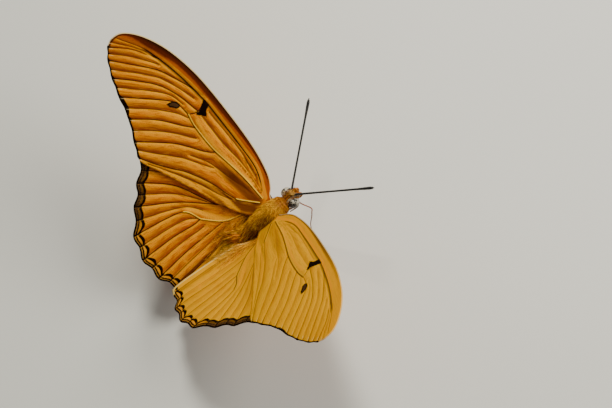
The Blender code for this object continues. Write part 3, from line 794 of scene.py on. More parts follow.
class Finish(Nodes):
    """A material as it is made: its ground, and the colours laid over it one after another."""

    def __init__(self, name, roughness, **settings):
        self.material = bpy.data.materials.new(name)
        self.material.use_nodes = True
        self.tree = self.material.node_tree
        self.shader = self.tree.nodes["Principled BSDF"]
        self.shader.inputs["Roughness"].default_value = roughness
        for socket, value in settings.items():
            label = socket.replace("_", " ").title().replace("Ior", "IOR")
            self.shader.inputs[label].default_value = value

    def field(self, name, output="Fac"):
        return self.made("ShaderNodeAttribute", attribute_name=name).outputs[output]

    def object_place(self):
        return self.made("ShaderNodeTexCoord").outputs["Object"]

    def rise(self, value, start, end):
        """0 up to the start and 1 from the end on, or the reverse where the end is lower."""
        feeds = {"Value": value, "From Min": start, "From Max": end}
        return self.made("ShaderNodeMapRange", feeds, interpolation_type="SMOOTHSTEP").outputs["Result"]

    def within(self, value, low, high, soft):
        """1 between two values, fading over a soft edge at each."""
        above = self.rise(value, low - soft, low + soft)
        return self.product(above, self.rise(value, high + soft, high - soft))

    def blend_value(self, share, first, second):
        return self.made("ShaderNodeMix", {0: share, 2: first, 3: second}, data_type="FLOAT").outputs[0]

    def blend(self, share, first, second):
        return self.made("ShaderNodeMix", {0: share, 6: first, 7: second}, data_type="RGBA").outputs[2]

    def lay(self, colour, *shares):
        """Lays a colour over the ground, by the product of its shares."""
        self.ground = self.blend(self.product(*shares), self.ground, colour)

    def stretched(self, place, factors):
        return self.made("ShaderNodeVectorMath", {0: place, 1: factors}, operation="MULTIPLY").outputs[0]

    def noise(self, place, scale, detail=2.0):
        feeds = {"Vector": place, "Scale": scale, "Detail": detail}
        return self.made("ShaderNodeTexNoise", feeds).outputs["Fac"]

    def ragged(self, place, scale, reach):
        """How uneven a drawn edge is: half the reach at most, either way."""
        return self.product(self.less(self.noise(place, scale, 3.0), 0.5), reach)

    def cells(self, place, scale):
        return self.made("ShaderNodeTexVoronoi", {"Vector": place, "Scale": scale}).outputs["Distance"]

    def bump(self, height, reach, strength):
        node = self.made("ShaderNodeBump", {"Strength": strength, "Distance": reach, "Height": height})
        self.feed(node.outputs["Normal"], self.shader.inputs["Normal"])

    def done(self, through=0.0):
        """The material in its ground's colour, with a share of the light let through."""
        self.feed(self.ground, self.shader.inputs["Base Color"])
        if through:
            glow = self.made("ShaderNodeBsdfTranslucent", {"Color": self.ground}).outputs[0]
            mix = self.made("ShaderNodeMixShader", {0: through, 1: self.shader.outputs[0], 2: glow})
            self.feed(mix.outputs[0], self.tree.nodes["Material Output"].inputs["Surface"])
        return self.material


def scale_rows(finish, place):
    """Fine rows of scales, as bump, over a slower ripple of the membrane."""
    rows = finish.cells(finish.stretched(place, (1.0, 2.2, 1.0)), 7.0)
    ripple = finish.noise(finish.stretched(place, (3.0, 0.35, 1.0)), 1.3, 3.0)
    finish.bump(finish.total(finish.product(rows, 0.35), ripple), 0.00012, 0.6)


def lay_orange(finish, place, boldness):
    """The upper side's orange, with painted light: a painted highlight just behind each vein or crease,
    painted shade before the next, and painted bands of shade and of highlight.
    """
    after = finish.field("after")
    flow = finish.joined(X=finish.product(after, 3.2), Y=finish.product(finish.field("root"), 0.3))
    streak = finish.noise(flow, 1.0, 3.0)
    mottle = finish.total(finish.product(streak, 0.9), finish.product(finish.noise(place, 0.16), 0.7))
    finish.ground = finish.blend(finish.rise(mottle, 0.5, 1.05), ORANGE, BRIGHT_ORANGE)
    if boldness < 1:
        # painted light: the right side's wing is laid over with gold, for the fuller light on it
        finish.lay(LIT_SIDE_GOLD, 0.7)
    # painted shade towards the next line, and a painted highlight just behind each line
    cell = finish.total(finish.field("cell"), finish.product(finish.less(streak, 0.5), 0.8))
    finish.lay(DEEP_ORANGE, finish.rise(cell, 0.35, 1.0), 0.85 * boldness)
    finish.lay(GOLD, finish.rise(cell, 0.45, 0.05), 0.8 * boldness)
    finish.lay(GOLD, finish.within(after, 0.1, 0.3, 0.06), 0.5 * boldness)
    fine = finish.noise(finish.stretched(flow, (1.1, 1.4, 1.0)), 1.0)
    finish.lay(DEEP_ORANGE, finish.rise(fine, 0.52, 0.64), 0.6 * boldness)
    finish.lay(GOLD, finish.rise(fine, 0.46, 0.34), 0.5 * boldness)
    # painted shade bands, then painted highlight bands
    finish.lay(UMBER, finish.field("umber"), 0.94 * boldness)
    finish.lay(GOLD, finish.field("gold"), 0.9)
    finish.lay(RUST, finish.rise(finish.noise(place, 6.0), 0.48, 0.7), 0.4 * boldness)


def lay_lines(finish, boldness):
    """Veins and creases as thin dark lines, and painted light on the main stems: a pale painted highlight on
    and before each, painted shade behind it.
    """
    gap, fold, root = (finish.field(name) for name in ("gap", "fold", "root"))
    finish.lay(LINE_BROWN, finish.rise(fold, 0.14, 0.05), finish.rise(root, 3.0, 9.0), 0.8 * boldness)
    finish.lay(LINE_BROWN, finish.rise(gap, 0.15, 0.07), finish.rise(root, 1.5, 5.0), 0.25 + 0.7 * boldness)
    # painted shade behind each main stem, and a painted highlight on and before it
    finish.lay(LINE_BROWN, finish.rise(finish.field("stem_behind"), 0.28, 0.2), 0.85)
    finish.lay(YELLOW, finish.rise(finish.field("stem_ahead"), 0.26, 0.18), boldness)


def upper_scales(wing, side):
    """A wing's upper finish with its orange and its lines, and where each point lies."""
    finish = Finish(f"{side}_{wing}_upper_scales", 0.75, specular_ior_level=0.02)
    place = finish.field("flat", "Vector")
    lay_orange(finish, place, BOLDNESS[side])
    lay_lines(finish, BOLDNESS[side])
    return finish, place, finish.parts(place)["Y"]


def lay_front(finish, outward, ragged, edging):
    """The strip before the radius with a painted highlight along it, the dark band along the front edge, and
    a painted highlight on the edge itself.
    """
    before, edge = finish.field("before_radius"), finish.field("costa")
    strip = finish.blend(finish.product(finish.rise(before, 0.4, 0.9), 0.8 * edging), ORANGE, DEEP_ORANGE)
    if edging < 1:
        # painted light: the right side's strip is laid over with gold
        strip = finish.blend(0.65, strip, LIT_SIDE_FRONT_GOLD)
    finish.lay(strip, finish.rise(before, 0.0, 0.1), 0.85)
    # painted highlight along the strip before the radius
    finish.lay(BRIGHT_ORANGE, finish.within(before, 0.06, 0.62, 0.1), finish.rise(outward, 36.0, 30.0), 0.95)
    width = FRONT_BAND
    for start, end, gain in FRONT_BAND_STEPS:
        width = finish.total(finish.product(finish.rise(outward, start, end), gain), width)
    depth = finish.math("DIVIDE", finish.total(edge, finish.product(ragged, 0.4)), width)
    band = finish.product(finish.rise(depth, 1.15, 0.75), finish.rise(outward, 0.5, 4.0))
    if edging < 1:
        band = finish.product(finish.rise(depth, 0.75, 0.35), finish.rise(outward, 40.0, 16.0))
    finish.lay(finish.blend(finish.rise(depth, 0.15, 0.7), BLACK, RED_BROWN), band, 0.95 * edging**0.3)
    # painted highlight along the front edge
    finish.lay(CREAM_AND_HIGHLIGHT, finish.rise(edge, 0.2, 0.12), 0.85 * edging)


def lay_radius(finish, outward, edging):
    """The black line along the radius, and gold behind its outer end."""
    before = finish.field("before_radius")
    rear = finish.less(-0.22, finish.product(finish.rise(outward, 8.0, 20.0), 0.36))
    line = finish.product(finish.rise(before, rear, -0.12), finish.rise(before, 0.1, 0.04))
    finish.lay(BLACK, line, finish.within(outward, 3.0, 37.6, 0.8), 0.93 * edging**0.4)
    finish.lay(GOLD, finish.within(before, -0.75, -0.48, 0.06), finish.within(outward, 31.0, 37.5, 1.5), 0.8)


def lay_marks(finish, ragged):
    """The bar at the end of the cell, and the spot behind it with a lighter heart."""
    for name, heart in (("bar", 0.0), ("spot", 0.6)):
        mark = finish.total(finish.field(name), finish.product(ragged, 0.8))
        inner = finish.blend(finish.product(finish.rise(mark, -0.15, -0.4), heart), BLACK, SOOT_AND_SHEEN)
        finish.lay(inner, finish.rise(mark, 0.08, -0.08))


def lay_outer_edge(finish, outward, ragged, edging):
    """The black outer edge, deeper at each vein and crease, with a streak of painted highlight behind each.
    """
    rim, gap, fold = (finish.field(name) for name in ("rim", "gap", "fold"))
    wedge = finish.product(finish.rise(gap, 0.7, 0.0), 0.22)
    sooty = finish.product(finish.within(outward, 30.6, 33.4, 0.6), 0.4)
    body = finish.product(finish.rise(outward, 41.0, 35.0), 0.16)
    reach = finish.product(finish.total(wedge, sooty, body, finish.product(ragged, 0.3)), edging)
    depth = finish.less(rim, finish.total(reach, 0.2 * edging))
    finish.lay(BLACK, finish.rise(depth, 0.12, -0.02))
    near = finish.math("MINIMUM", gap, finish.total(fold, 0.06))
    finish.lay(BLACK, finish.rise(finish.total(near, finish.product(rim, 0.11)), 0.24, 0.14), edging)
    # painted highlight behind each line near the edge
    behind = finish.within(finish.field("after"), 0.2, 0.32, 0.04)
    finish.lay(CREAM_AND_HIGHLIGHT, behind, finish.within(rim, 0.35, 1.1, 0.2), 0.4)


def forewing_upper(side):
    """Orange, with the dark front, radius, bar, spot and outer edge."""
    finish, place, outward = upper_scales("forewing", side)
    edging = EDGING[side]
    ragged = finish.ragged(place, 2.2, 0.5)
    finish.lay(RUST, finish.rise(outward, 33.0, 42.0), 0.4 * edging)
    lay_front(finish, outward, ragged, edging)
    lay_radius(finish, outward, edging)
    lay_marks(finish, ragged)
    lay_outer_edge(finish, outward, ragged, edging)
    scale_rows(finish, place)
    return finish.done(LIGHT_THROUGH["upper"])


def hindwing_upper(side):
    """Orange, with a chain of dark arches and pale crescents along the outer edge, painted sheen in the front
    of the dark border, and painted highlights behind the lines near the edge and along the inner edge.
    """
    finish, place, outward = upper_scales("hindwing", side)
    rim = finish.total(finish.field("rim"), finish.ragged(place, 3.0, 0.22))
    across = finish.field("across")
    arch = finish.product(across, finish.less(1.0, across), 4.0)
    front = finish.rise(outward, 11.0, 14.5)
    deep = finish.total(finish.product(arch, 0.75), 1.15)
    reach = finish.blend_value(front, deep, finish.total(finish.product(arch, 0.2), 1.5))
    # painted sheen: paler patches in the dark border's front part
    sheen_patches = finish.rise(finish.noise(finish.stretched(place, (1.0, 3.0, 1.0)), 2.0), 0.4, 0.65)
    dark = finish.blend(finish.product(front, sheen_patches, finish.within(rim, 0.35, 1.25, 0.1)), BLACK, SOOT_AND_SHEEN)
    finish.lay(dark, finish.rise(finish.less(rim, reach), 0.08, -0.05))
    top = finish.total(finish.product(arch, 0.48), 0.78)
    crescent = finish.product(finish.rise(rim, 0.74, 0.82), finish.rise(finish.less(rim, top), 0.04, -0.05))
    clear = finish.less(1.0, finish.product(front, 0.85))
    finish.lay(finish.blend(finish.rise(rim, 0.75, 1.05), TAN, BRIGHT_ORANGE), crescent, clear)
    finish.lay(TAN, finish.within(rim, 0.36, 0.48, 0.04), finish.rise(arch, 0.1, 0.4), clear, 0.9)
    near = finish.rise(finish.field("rim"), 1.8, 1.4)
    line = finish.math("MINIMUM", finish.field("gap"), finish.total(finish.field("fold"), 0.04))
    finish.lay(BLACK, finish.rise(line, 0.17, 0.1), near)
    # painted highlight behind each line near the edge
    finish.lay(TAN, finish.within(finish.field("after"), 0.2, 0.3, 0.04), near, clear, 0.5)
    # painted highlight along the inner edge
    finish.lay(INNER_EDGE_HIGHLIGHT, finish.rise(finish.field("inner_rim"), 0.42, 0.3))
    scale_rows(finish, place)
    return finish.done(LIGHT_THROUGH["upper"])


def wing_under(wing):
    """The paler, tawny underside, with the upper markings faint."""
    finish = Finish(f"{wing}_under_scales", 0.65, specular_ior_level=0.2)
    place = finish.field("flat", "Vector")
    finish.ground = finish.blend(finish.rise(finish.noise(place, 0.35, 4.0), 0.35, 0.65), TAWNY, PINKISH)
    for name, far, near, part in (("gap", 0.14, 0.05, 0.7), ("fold", 0.1, 0.03, 0.4), ("rim", 1.5, 0.3, 0.6)):
        finish.lay(RUST, finish.rise(finish.field(name), far, near), part)
    if wing == "forewing":
        for mark in ("bar", "spot"):
            finish.lay(RUST, finish.rise(finish.field(mark), 0.1, -0.1), 0.7)
    else:
        streak = finish.within(finish.field("costa"), 0.5, 1.1, 0.1)
        finish.lay(CREAM_AND_HIGHLIGHT, streak, finish.rise(finish.field("inner_rim"), 9.0, 6.0), 0.8)
    scale_rows(finish, place)
    return finish.done(LIGHT_THROUGH["under"])


def pelt_finish(name):
    """Takes the body's colours, darker at a tuft's root and varied from tuft to tuft."""
    finish = Finish(name, 0.65, specular_ior_level=0.2)
    finish.ground = finish.field("pelt", "Color")
    finish.lay(RUST, finish.rise(finish.noise(finish.object_place(), 1900.0, 3.0), 0.45, 0.65), 0.5)
    finish.lay(RED_BROWN, finish.rise(finish.field("tip"), 0.6, 0.0), 0.5)
    strand = finish.field("strand")
    finish.lay(RED_BROWN, finish.rise(strand, 0.4, 0.1), 0.65)
    finish.lay(YELLOW, finish.rise(strand, 0.6, 0.9), 0.45)
    return finish.done()


def skin_finish():
    finish = Finish("body_skin_finish", 0.5)
    finish.ground = finish.field("pelt", "Color")
    finish.lay(RED_BROWN, 0.55)
    finish.bump(finish.noise(finish.object_place(), 9000.0), 0.00004, 0.6)
    return finish.done()


def eye_finish():
    """A painted highlight in front, dark blotches, a painted deep blue reflection on the rim at the rear, and
    fine facets.
    """
    finish = Finish("compound_eye", 0.24, coat_weight=0.15, specular_ior_level=0.35)
    place, rearwards = finish.object_place(), finish.field("rearwards")
    # painted highlight in front, fading to the eye's grey towards the rear
    finish.ground = finish.blend(finish.rise(rearwards, 0.1, -1.0), EYE_DARK, EYE_HIGHLIGHT)
    finish.lay(EYE_BLOTCH, finish.rise(finish.noise(place, 2300.0, 1.0), 0.5, 0.56), 0.95)
    # painted reflection: a deep blue rim at the rear
    finish.lay(EYE_REAR, finish.rise(rearwards, 0.1, 0.4), 0.97)
    finish.bump(finish.cells(place, 26000.0), 0.00001, 0.35)
    return finish.done()


def chitin_finish(name, dark, light, scale):
    finish = Finish(name, 0.42)
    place = finish.object_place()
    finish.ground = finish.blend(finish.rise(finish.noise(place, scale, 3.0), 0.4, 0.7), dark, light)
    finish.bump(finish.noise(place, scale * 6), 0.00003, 0.5)
    return finish.done()


def floor_finish():
    finish = Finish("pale_floor", 0.7)
    place = finish.object_place()
    finish.ground = finish.blend(finish.rise(finish.noise(place, 6.0, 3.0), 0.3, 0.7), FLOOR_GREY, FLOOR_PALE)
    return finish.done()


# Growth


class Growth(Nodes):
    """A Geometry Nodes tree as it is made, with named inputs."""

    def __init__(self, name, **inputs):
        self.tree = bpy.data.node_groups.new(name, "GeometryNodeTree")
        self.tree.interface.new_socket("Base", in_out="INPUT", socket_type="NodeSocketGeometry")
        for label, kind in inputs.items():
            self.tree.interface.new_socket(label, in_out="INPUT", socket_type=f"NodeSocket{kind}")
        self.tree.interface.new_socket("Result", in_out="OUTPUT", socket_type="NodeSocketGeometry")
        self.inputs = self.made("NodeGroupInput").outputs
        self.output = self.made("NodeGroupOutput")

    def first(self, kind, feeds=None, **settings):
        """The first output of a new node."""
        return self.made(kind, feeds, **settings).outputs[0]

    def scaled(self, vector, size):
        return self.first("ShaderNodeVectorMath", {0: vector, "Scale": size}, operation="SCALE")

    def added(self, first, second):
        return self.first("ShaderNodeVectorMath", {0: first, 1: second}, operation="ADD")

    def named(self, name, kind="FLOAT"):
        node = self.made("GeometryNodeInputNamedAttribute", {"Name": name}, data_type=kind)
        return node.outputs["Attribute"]

    def stored(self, geometry, name, value, kind, domain):
        feeds = {"Geometry": geometry, "Name": name, "Value": value}
        return self.first("GeometryNodeStoreNamedAttribute", feeds, data_type=kind, domain=domain)

    def random(self, low, high, number, kind="FLOAT"):
        """A random value, with a seed of its own beside the tree's Seed."""
        node = self.made("FunctionNodeRandomValue", data_type=kind)
        place, output = {"FLOAT_VECTOR": (0, 0), "FLOAT": (2, 1)}[kind]
        self.feed(low, node.inputs[place])
        self.feed(high, node.inputs[place + 1])
        self.feed(self.total(self.inputs["Seed"], number), node.inputs["Seed"])
        return node.outputs[output]

    def end(self, geometry):
        """Smooths the result, gives it its finish and hands it out."""
        smooth = self.first("GeometryNodeSetShadeSmooth", {"Geometry": geometry})
        feeds = {"Geometry": smooth, "Material": self.inputs["Finish"]}
        self.feed(self.first("GeometryNodeSetMaterial", feeds), self.output.inputs[0])
        return self.tree


def coat_growth():
    """Tapered, bent tufts that grow from a skin along its lie, denser where its cover is higher."""
    grow = Growth(
        "coat", Cover="String", Density="Float", Length="Float", Width="Float", Lift="Float",
        Spread="Float", Bend="Float", Seed="Int", Finish="Material",
    )
    given = grow.inputs
    density = grow.product(grow.named(given["Cover"]), given["Density"])
    roots = grow.made(
        "GeometryNodeDistributePointsOnFaces",
        {"Mesh": given["Base"], "Density": density, "Seed": given["Seed"]},
        distribute_method="RANDOM",
    ).outputs
    stray = grow.scaled(grow.random((-1, -1, -1), (1, 1, 1), 1, "FLOAT_VECTOR"), given["Spread"])
    away = grow.added(grow.scaled(roots["Normal"], given["Lift"]), stray)
    lie = grow.added(grow.named("lie", "FLOAT_VECTOR"), away)
    along = grow.first("FunctionNodeAlignRotationToVector", {"Vector": lie}, axis="Z")
    feeds = {"Rotation": along, "Vector": roots["Normal"]}
    upright = grow.first("FunctionNodeAlignRotationToVector", feeds, axis="Y", pivot_axis="Z")

    slim = grow.math("DIVIDE", given["Width"], given["Length"])
    feeds = {"Vertices": 3, "Side Segments": 3, "Radius Top": 0.0, "Radius Bottom": slim, "Depth": 1.0}
    tuft = grow.first("GeometryNodeMeshCone", feeds)
    place = grow.parts(grow.first("GeometryNodeInputPosition"))
    marked = grow.stored(tuft, "tip", place["Z"], "FLOAT", "POINT")
    patch = grow.joined(X=grow.math("DIVIDE", place["X"], slim), Y=place["Z"])
    marked = grow.stored(marked, "patch", patch, "FLOAT2", "CORNER")
    droop = grow.joined(Y=grow.product(place["Z"], place["Z"], given["Bend"], -1.0))
    bent = grow.first("GeometryNodeSetPosition", {"Geometry": marked, "Offset": droop})

    size = grow.product(grow.named("long"), given["Length"], grow.random(0.65, 1.2, 2))
    feeds = {"Points": roots["Points"], "Instance": bent, "Rotation": upright, "Scale": size}
    tufts = grow.first("GeometryNodeInstanceOnPoints", feeds)
    tinted = grow.stored(tufts, "strand", grow.random(0.0, 1.0, 3), "FLOAT", "INSTANCE")
    real = grow.first("GeometryNodeRealizeInstances", {"Geometry": tinted})
    small = grow.scaled(grow.named("patch", "FLOAT_VECTOR"), TUFT_PATCH)
    unwrap = grow.added(grow.named("OFBake", "FLOAT_VECTOR"), small)
    return grow.end(grow.stored(real, "OFBake", unwrap, "FLOAT2", "CORNER"))


def ring_growth():
    """Flared rings, one after another along a line, as wide as its radius there."""
    grow = Growth("rings", Spacing="Float", Flare="Float", Sides="Int", Finish="Material")
    given = grow.inputs
    curve = grow.first("GeometryNodeMeshToCurve", {"Mesh": given["Base"]})
    feeds = {"Curve": curve, "Length": given["Spacing"]}
    places = grow.first("GeometryNodeResampleCurve", feeds, mode="LENGTH")
    tangent = grow.first("GeometryNodeInputTangent")
    turned = grow.first("FunctionNodeAlignRotationToVector", {"Vector": tangent}, axis="Z")
    feeds = {
        "Vertices": given["Sides"], "Side Segments": 2, "Radius Top": 1.0,
        "Radius Bottom": given["Flare"], "Depth": 1.0,
    }
    ring = grow.first("GeometryNodeMeshCone", feeds)
    radius = grow.named("radius")
    size = grow.joined(X=radius, Y=radius, Z=grow.product(given["Spacing"], RING_OVERLAP))
    feeds = {"Points": places, "Instance": ring, "Rotation": turned, "Scale": size}
    rings = grow.first("GeometryNodeInstanceOnPoints", feeds)
    return grow.end(grow.first("GeometryNodeRealizeInstances", {"Geometry": rings}))


def grown(name, base, tree, settings):
    """A plain mesh object that a tree makes from a base mesh."""
    obj = bpy.data.objects.new(name, base)
    bpy.context.scene.collection.objects.link(obj)
    modifier = obj.modifiers.new("growth", "NODES")
    modifier.node_group = tree
    for item in tree.interface.items_tree:
        if item.in_out == "INPUT" and item.name in settings:
            modifier[item.identifier] = settings[item.name]
    graph = bpy.context.evaluated_depsgraph_get()
    made = bpy.data.meshes.new_from_object(
        obj.evaluated_get(graph), preserve_all_data_layers=True, depsgraph=graph
    )
    obj.modifiers.clear()
    obj.data = made
    return obj


def grow_coat(name, skin, tree, tufts, fur):
    """A coat of tufts on a skin, where its cover field says."""
    cover, density, length, width, lift, spread, bend, seed = tufts
    settings = {
        "Cover": cover, "Density": density / MM**2, "Length": length * MM, "Width": width * MM,
        "Lift": lift, "Spread": spread, "Bend": bend, "Seed": seed, "Finish": fur,
    }
    coat = grown(name, skin.data, tree, settings)
    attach(coat, "root")


# Body


def loft(rings):
    """Faces between rings of points, closed at both ends by a fan to a point of its own."""
    count, sides = rings.shape[:2]
    points = np.vstack([rings.reshape(-1, 3), rings[0].mean(axis=0), rings[-1].mean(axis=0)])
    faces = []
    for ring in range(count - 1):
        for side in range(sides):
            after = (side + 1) % sides
            low, high = ring * sides, (ring + 1) * sides
            faces.append((low + side, low + after, high + after, high + side))
    last = (count - 1) * sides
    for side in range(sides):
        after = (side + 1) % sides
        faces.append((count * sides, after, side))
        faces.append((count * sides + 1, last + side, last + after))
    return points, faces


def make_skin(finish):
    """One skin from the tip of the abdomen, over the thorax, to the front of the head."""
    line = smooth_line(SKIN_SECTIONS, SKIN_STEP)
    forward = line[:, 0]
    behind = np.mod(ABDOMEN_START - forward, SEGMENT_LENGTH) / SEGMENT_LENGTH
    lip = np.where(forward < ABDOMEN_START, SEGMENT_LIP * (behind**3 - 0.3), 0.0)
    angle = np.linspace(0, 2 * math.pi, SKIN_SIDES, endpoint=False)
    half_width = line[:, 1] * (1 + lip)
    half_height = (line[:, 2] - line[:, 3]) / 2 * (1 + lip)
    middle = (line[:, 2] + line[:, 3]) / 2
    across = half_width[:, None] * np.cos(angle)
    on_back = (np.sin(angle) > 0) * (np.abs(forward - BACK_GROOVE_MIDDLE) < BACK_GROOVE_REACH)[:, None]
    groove = BACK_GROOVE_DEPTH * np.exp(-((across / BACK_GROOVE_WIDTH) ** 2)) * on_back
    up = middle[:, None] + half_height[:, None] * np.sin(angle) - groove
    ahead = np.repeat(forward[:, None], SKIN_SIDES, axis=1)
    points, faces = loft(np.stack([ahead, across, up], axis=2))
    skin = mesh_piece("body_skin", body_points(points), faces, [finish])
    side = np.concatenate([np.tile(angle / (2 * math.pi), len(line)), [0.5, 0.5]])
    along = np.concatenate([np.repeat(np.linspace(0, 1, len(line)), SKIN_SIDES), [0, 1]])
    corner_side, corner_along = [], []
    for face in faces:
        turns = side[list(face)]
        if turns.max() - turns.min() > 0.5:
            turns = np.where(turns < 0.5, turns + 1, turns)
        corner_side.extend(turns * SKIN_MAP_WIDTH + MAP_MARGIN)
        corner_along.extend(along[list(face)] * (1 - 2 * MAP_MARGIN) + MAP_MARGIN)
    write_map(skin.data, np.column_stack([corner_side, corner_along]))
    pelt = Pelt(points)
    for name, cover in pelt.covers().items():
        write_field(skin.data, name, cover)
    write_field(skin.data, "long", pelt.lengths())
    write_field(skin.data, "lie", pelt.lie(skin.data))
    write_field(skin.data, "pelt", pelt.colours())
    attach(skin, "root")
    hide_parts("thorax", "abdomen", "head")
    return skin


class Pelt:
    """How far each point of the skin belongs to each region, from 0 to 1, and the fur there."""

    def __init__(self, places):
        self.places = places
        forward, across, up = places.T
        self.head = eased(forward, NECK, NECK + 0.3)
        self.thorax = eased(forward, -7.9, -6.7) * eased(forward, NECK, NECK - 0.3)
        self.abdomen = eased(forward, ABDOMEN_START + 1.0, ABDOMEN_START)
        self.collar = eased(forward, 2.0, 2.4) * (1 - self.head)
        rear = self.abdomen * eased(forward, -15.0, -10.0)
        self.flank = rear * eased(across, -0.5, 0.3) * eased(up, -4.9, -3.9)
        stations, _, tops, bottoms = np.array(SKIN_SECTIONS).T
        self.under = eased(up - np.interp(forward, stations, (tops + bottoms) / 2), 0.0, -1.0)
        self.face = eased(forward, 5.3, 5.7) * eased(np.abs(across), 0.85, 0.6) * eased(up, -2.6, -2.1)
        sides = np.maximum(eased(across, 0.35, 0.6), 0.3 * eased(across, -0.7, -0.9))
        self.brow = self.head * eased(forward, 5.3, 4.9) * sides
        self.from_feelers = self.nearest(ANTENNA_BASE, 1.0)

    def nearest(self, place, size):
        """Distance to a place on the left or to its twin on the right, in units of a size."""
        gaps = [np.linalg.norm((self.places - np.array(place) * (1, s, 1)) / size, axis=1) for s in (1, -1)]
        return np.min(gaps, axis=0)

    def covers(self):
        forward = self.places[:, 0]
        front = eased(forward, 0.6, 1.4)
        return {
            "thorax_cover": self.thorax * (1 - front),
            "collar_cover": self.thorax * front,
            "abdomen_cover": self.abdomen * (1 - 0.8 * self.flank),
            "flank_cover": self.flank,
            "head_cover": self.head * (self.nearest(EYE_CENTRE, EYE_HALF_SIZE) > 1),
        }

    def lengths(self):
        """Lengths of the fur, as shares of each coat's own."""
        forward, _, up = self.places.T
        long = 0.6 + (0.4 * eased(forward, 2.4, 0.5) + 1.2 * eased(forward, -4.0, -6.5)) * self.thorax
        long += 3.2 * self.flank + 0.6 * eased(self.from_feelers, 0.6, 0.35)
        return long + 0.9 * self.face + self.brow * eased(up, -1.5, -1.0)

    def lie(self, mesh):
        """Which way the fur lies: rearwards, up on the head, and outwards at brow and flank."""
        forward, across, _ = self.places.T
        lie = np.column_stack([-np.ones(len(across)), across * 0.22, -0.12 - 0.2 * np.abs(across)])
        lie[self.head > 0.5] = (0.3, 0.0, 1.0)
        lie[self.brow > 0.2] = (-0.1, 1.0, 0.5)
        lie = body_directions(lie)
        normals = np.zeros(lie.size)
        mesh.vertices.foreach_get("normal", normals)
        normals = normals.reshape(-1, 3)
        lie -= normals * (lie * normals).sum(axis=1)[:, None]
        lie /= np.maximum(np.linalg.norm(lie, axis=1), 1e-6)[:, None]
        rear_edge = self.thorax * eased(forward, -4.5, -6.5) * eased(across, 0.2, 0.9)
        swept = np.maximum(self.flank, rear_edge)[:, None]
        return lie * (1 - swept) + body_directions((-0.8, 0.5, 0.28)) * swept

    def colours(self):
        forward, across, _ = self.places.T
        pelt = np.tile(np.array(THORAX_GOLD), (len(self.places), 1))
        # darker towards the rear of the thorax's right side: partly its darker hair, partly painted shade
        shade = eased(across, 0.7, -1.1) * eased(forward, 1.6, -1.6)
        band = eased(np.abs(np.mod(forward - 2.15, COLLAR_BAND_STEP) - COLLAR_BAND_STEP / 2), 0.1, 0.02)
        for share, colour in (
            (0.9 * self.thorax * shade, THORAX_DARK_AND_SHADE),
            (self.collar, COLLAR_ORANGE),
            (0.85 * self.collar * band, COLLAR_BAND),
            (self.abdomen, ABDOMEN_ORANGE),
            (self.flank * eased(forward, -8.0, -9.5), FLANK_GOLD),
            (self.head, HEAD_ORANGE),
            *[
                (self.head * eased(np.abs(np.abs(across) - middle), half + 0.04, half - 0.04), colour)
                for middle, half, colour in HEAD_STRIPES
            ],
            (eased(self.from_feelers, 0.5, 0.35), FEELER_BASE),
            (self.under * (1 - self.head), BELLY),
            (self.under * self.head, THROAT),
        ):
            pelt = painted(pelt, share, colour)
        return pelt


# Head parts and legs


def tube_rings(line, radii, sides):
    """Rings of points round a line, turned as little as they can be from one to the next."""
    line = np.asarray(line, float)
    along = np.gradient(line, axis=0)
    along /= np.linalg.norm(along, axis=1)[:, None]
    side = np.cross(along[0], (0, 0, 1) if abs(along[0][2]) < 0.9 else (1, 0, 0))
    angle = np.linspace(0, 2 * math.pi, sides, endpoint=False)
    rings = []
    for here, direction, radius in zip(line, along, radii):
        side = side - direction * (side @ direction)
        side /= np.linalg.norm(side)
        top = np.cross(side, direction)
        rings.append(here + radius * (np.outer(np.cos(angle), side) + np.outer(np.sin(angle), top)))
    return np.array(rings)


def limb(name, line, radii, finish, node, sides=PALP_SIDES):
    """A round closed limb along a line of model-frame points."""
    points, faces = loft(tube_rings(line, radii, sides))
    obj = mesh_piece(name, points, faces, [finish])
    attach(obj, "root")
    if node:
        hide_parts(node)
    return obj


def make_eye(side, finish):
    """A smooth oval dome sunk in the side of the head."""
    tilt = np.linspace(0, math.pi, EYE_RINGS + 2)[1:-1]
    angle = np.linspace(0, 2 * math.pi, EYE_SIDES, endpoint=False)
    forward, bulge, up = EYE_HALF_SIZE
    centre = np.array(EYE_CENTRE) * (1, SIDES[side], 1)
    domes = np.stack(
        [
            forward * np.outer(np.sin(tilt), np.cos(angle)),
            SIDES[side] * bulge * np.outer(np.cos(tilt), np.ones(EYE_SIDES)),
            up * np.outer(np.sin(tilt), np.sin(angle)),
        ],
        axis=2,
    )
    points, faces = loft(domes + centre)
    if side == "left":
        faces = [face[::-1] for face in faces]
    eye = mesh_piece(f"{side}_eye_dome", body_points(points), faces, [finish])
    off = points - centre
    write_field(eye.data, "rearwards", off @ np.array(EYE_REARWARDS))
    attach(eye, "root")
    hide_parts(f"eye_{side}")


def make_feeler(side, tree, finish):
    """A black shaft of short rings that swells into a slim club."""
    start = np.array(ANTENNA_BASE) * (1, SIDES[side], 1)
    tip = np.array(ANTENNA_TIP) * (1, SIDES[side], 1)
    share = np.linspace(0, 1, 90)
    line = body_points(start + (tip - start) * share[:, None])
    stations, radii = zip(*ANTENNA_RADII)
    mesh = bpy.data.meshes.new(f"{side}_feeler_line")
    mesh.from_pydata(line.tolist(), [(i, i + 1) for i in range(len(line) - 1)], [])
    write_field(mesh, "radius", np.interp(share, stations, radii) * MM)
    settings = {"Spacing": ANTENNA_RING * MM, "Flare": RING_FLARE, "Sides": ANTENNA_SIDES}
    feeler = grown(f"{side}_feeler", mesh, tree, {**settings, "Finish": finish})
    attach(feeler, "root")
    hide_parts(f"antenna_{side}")


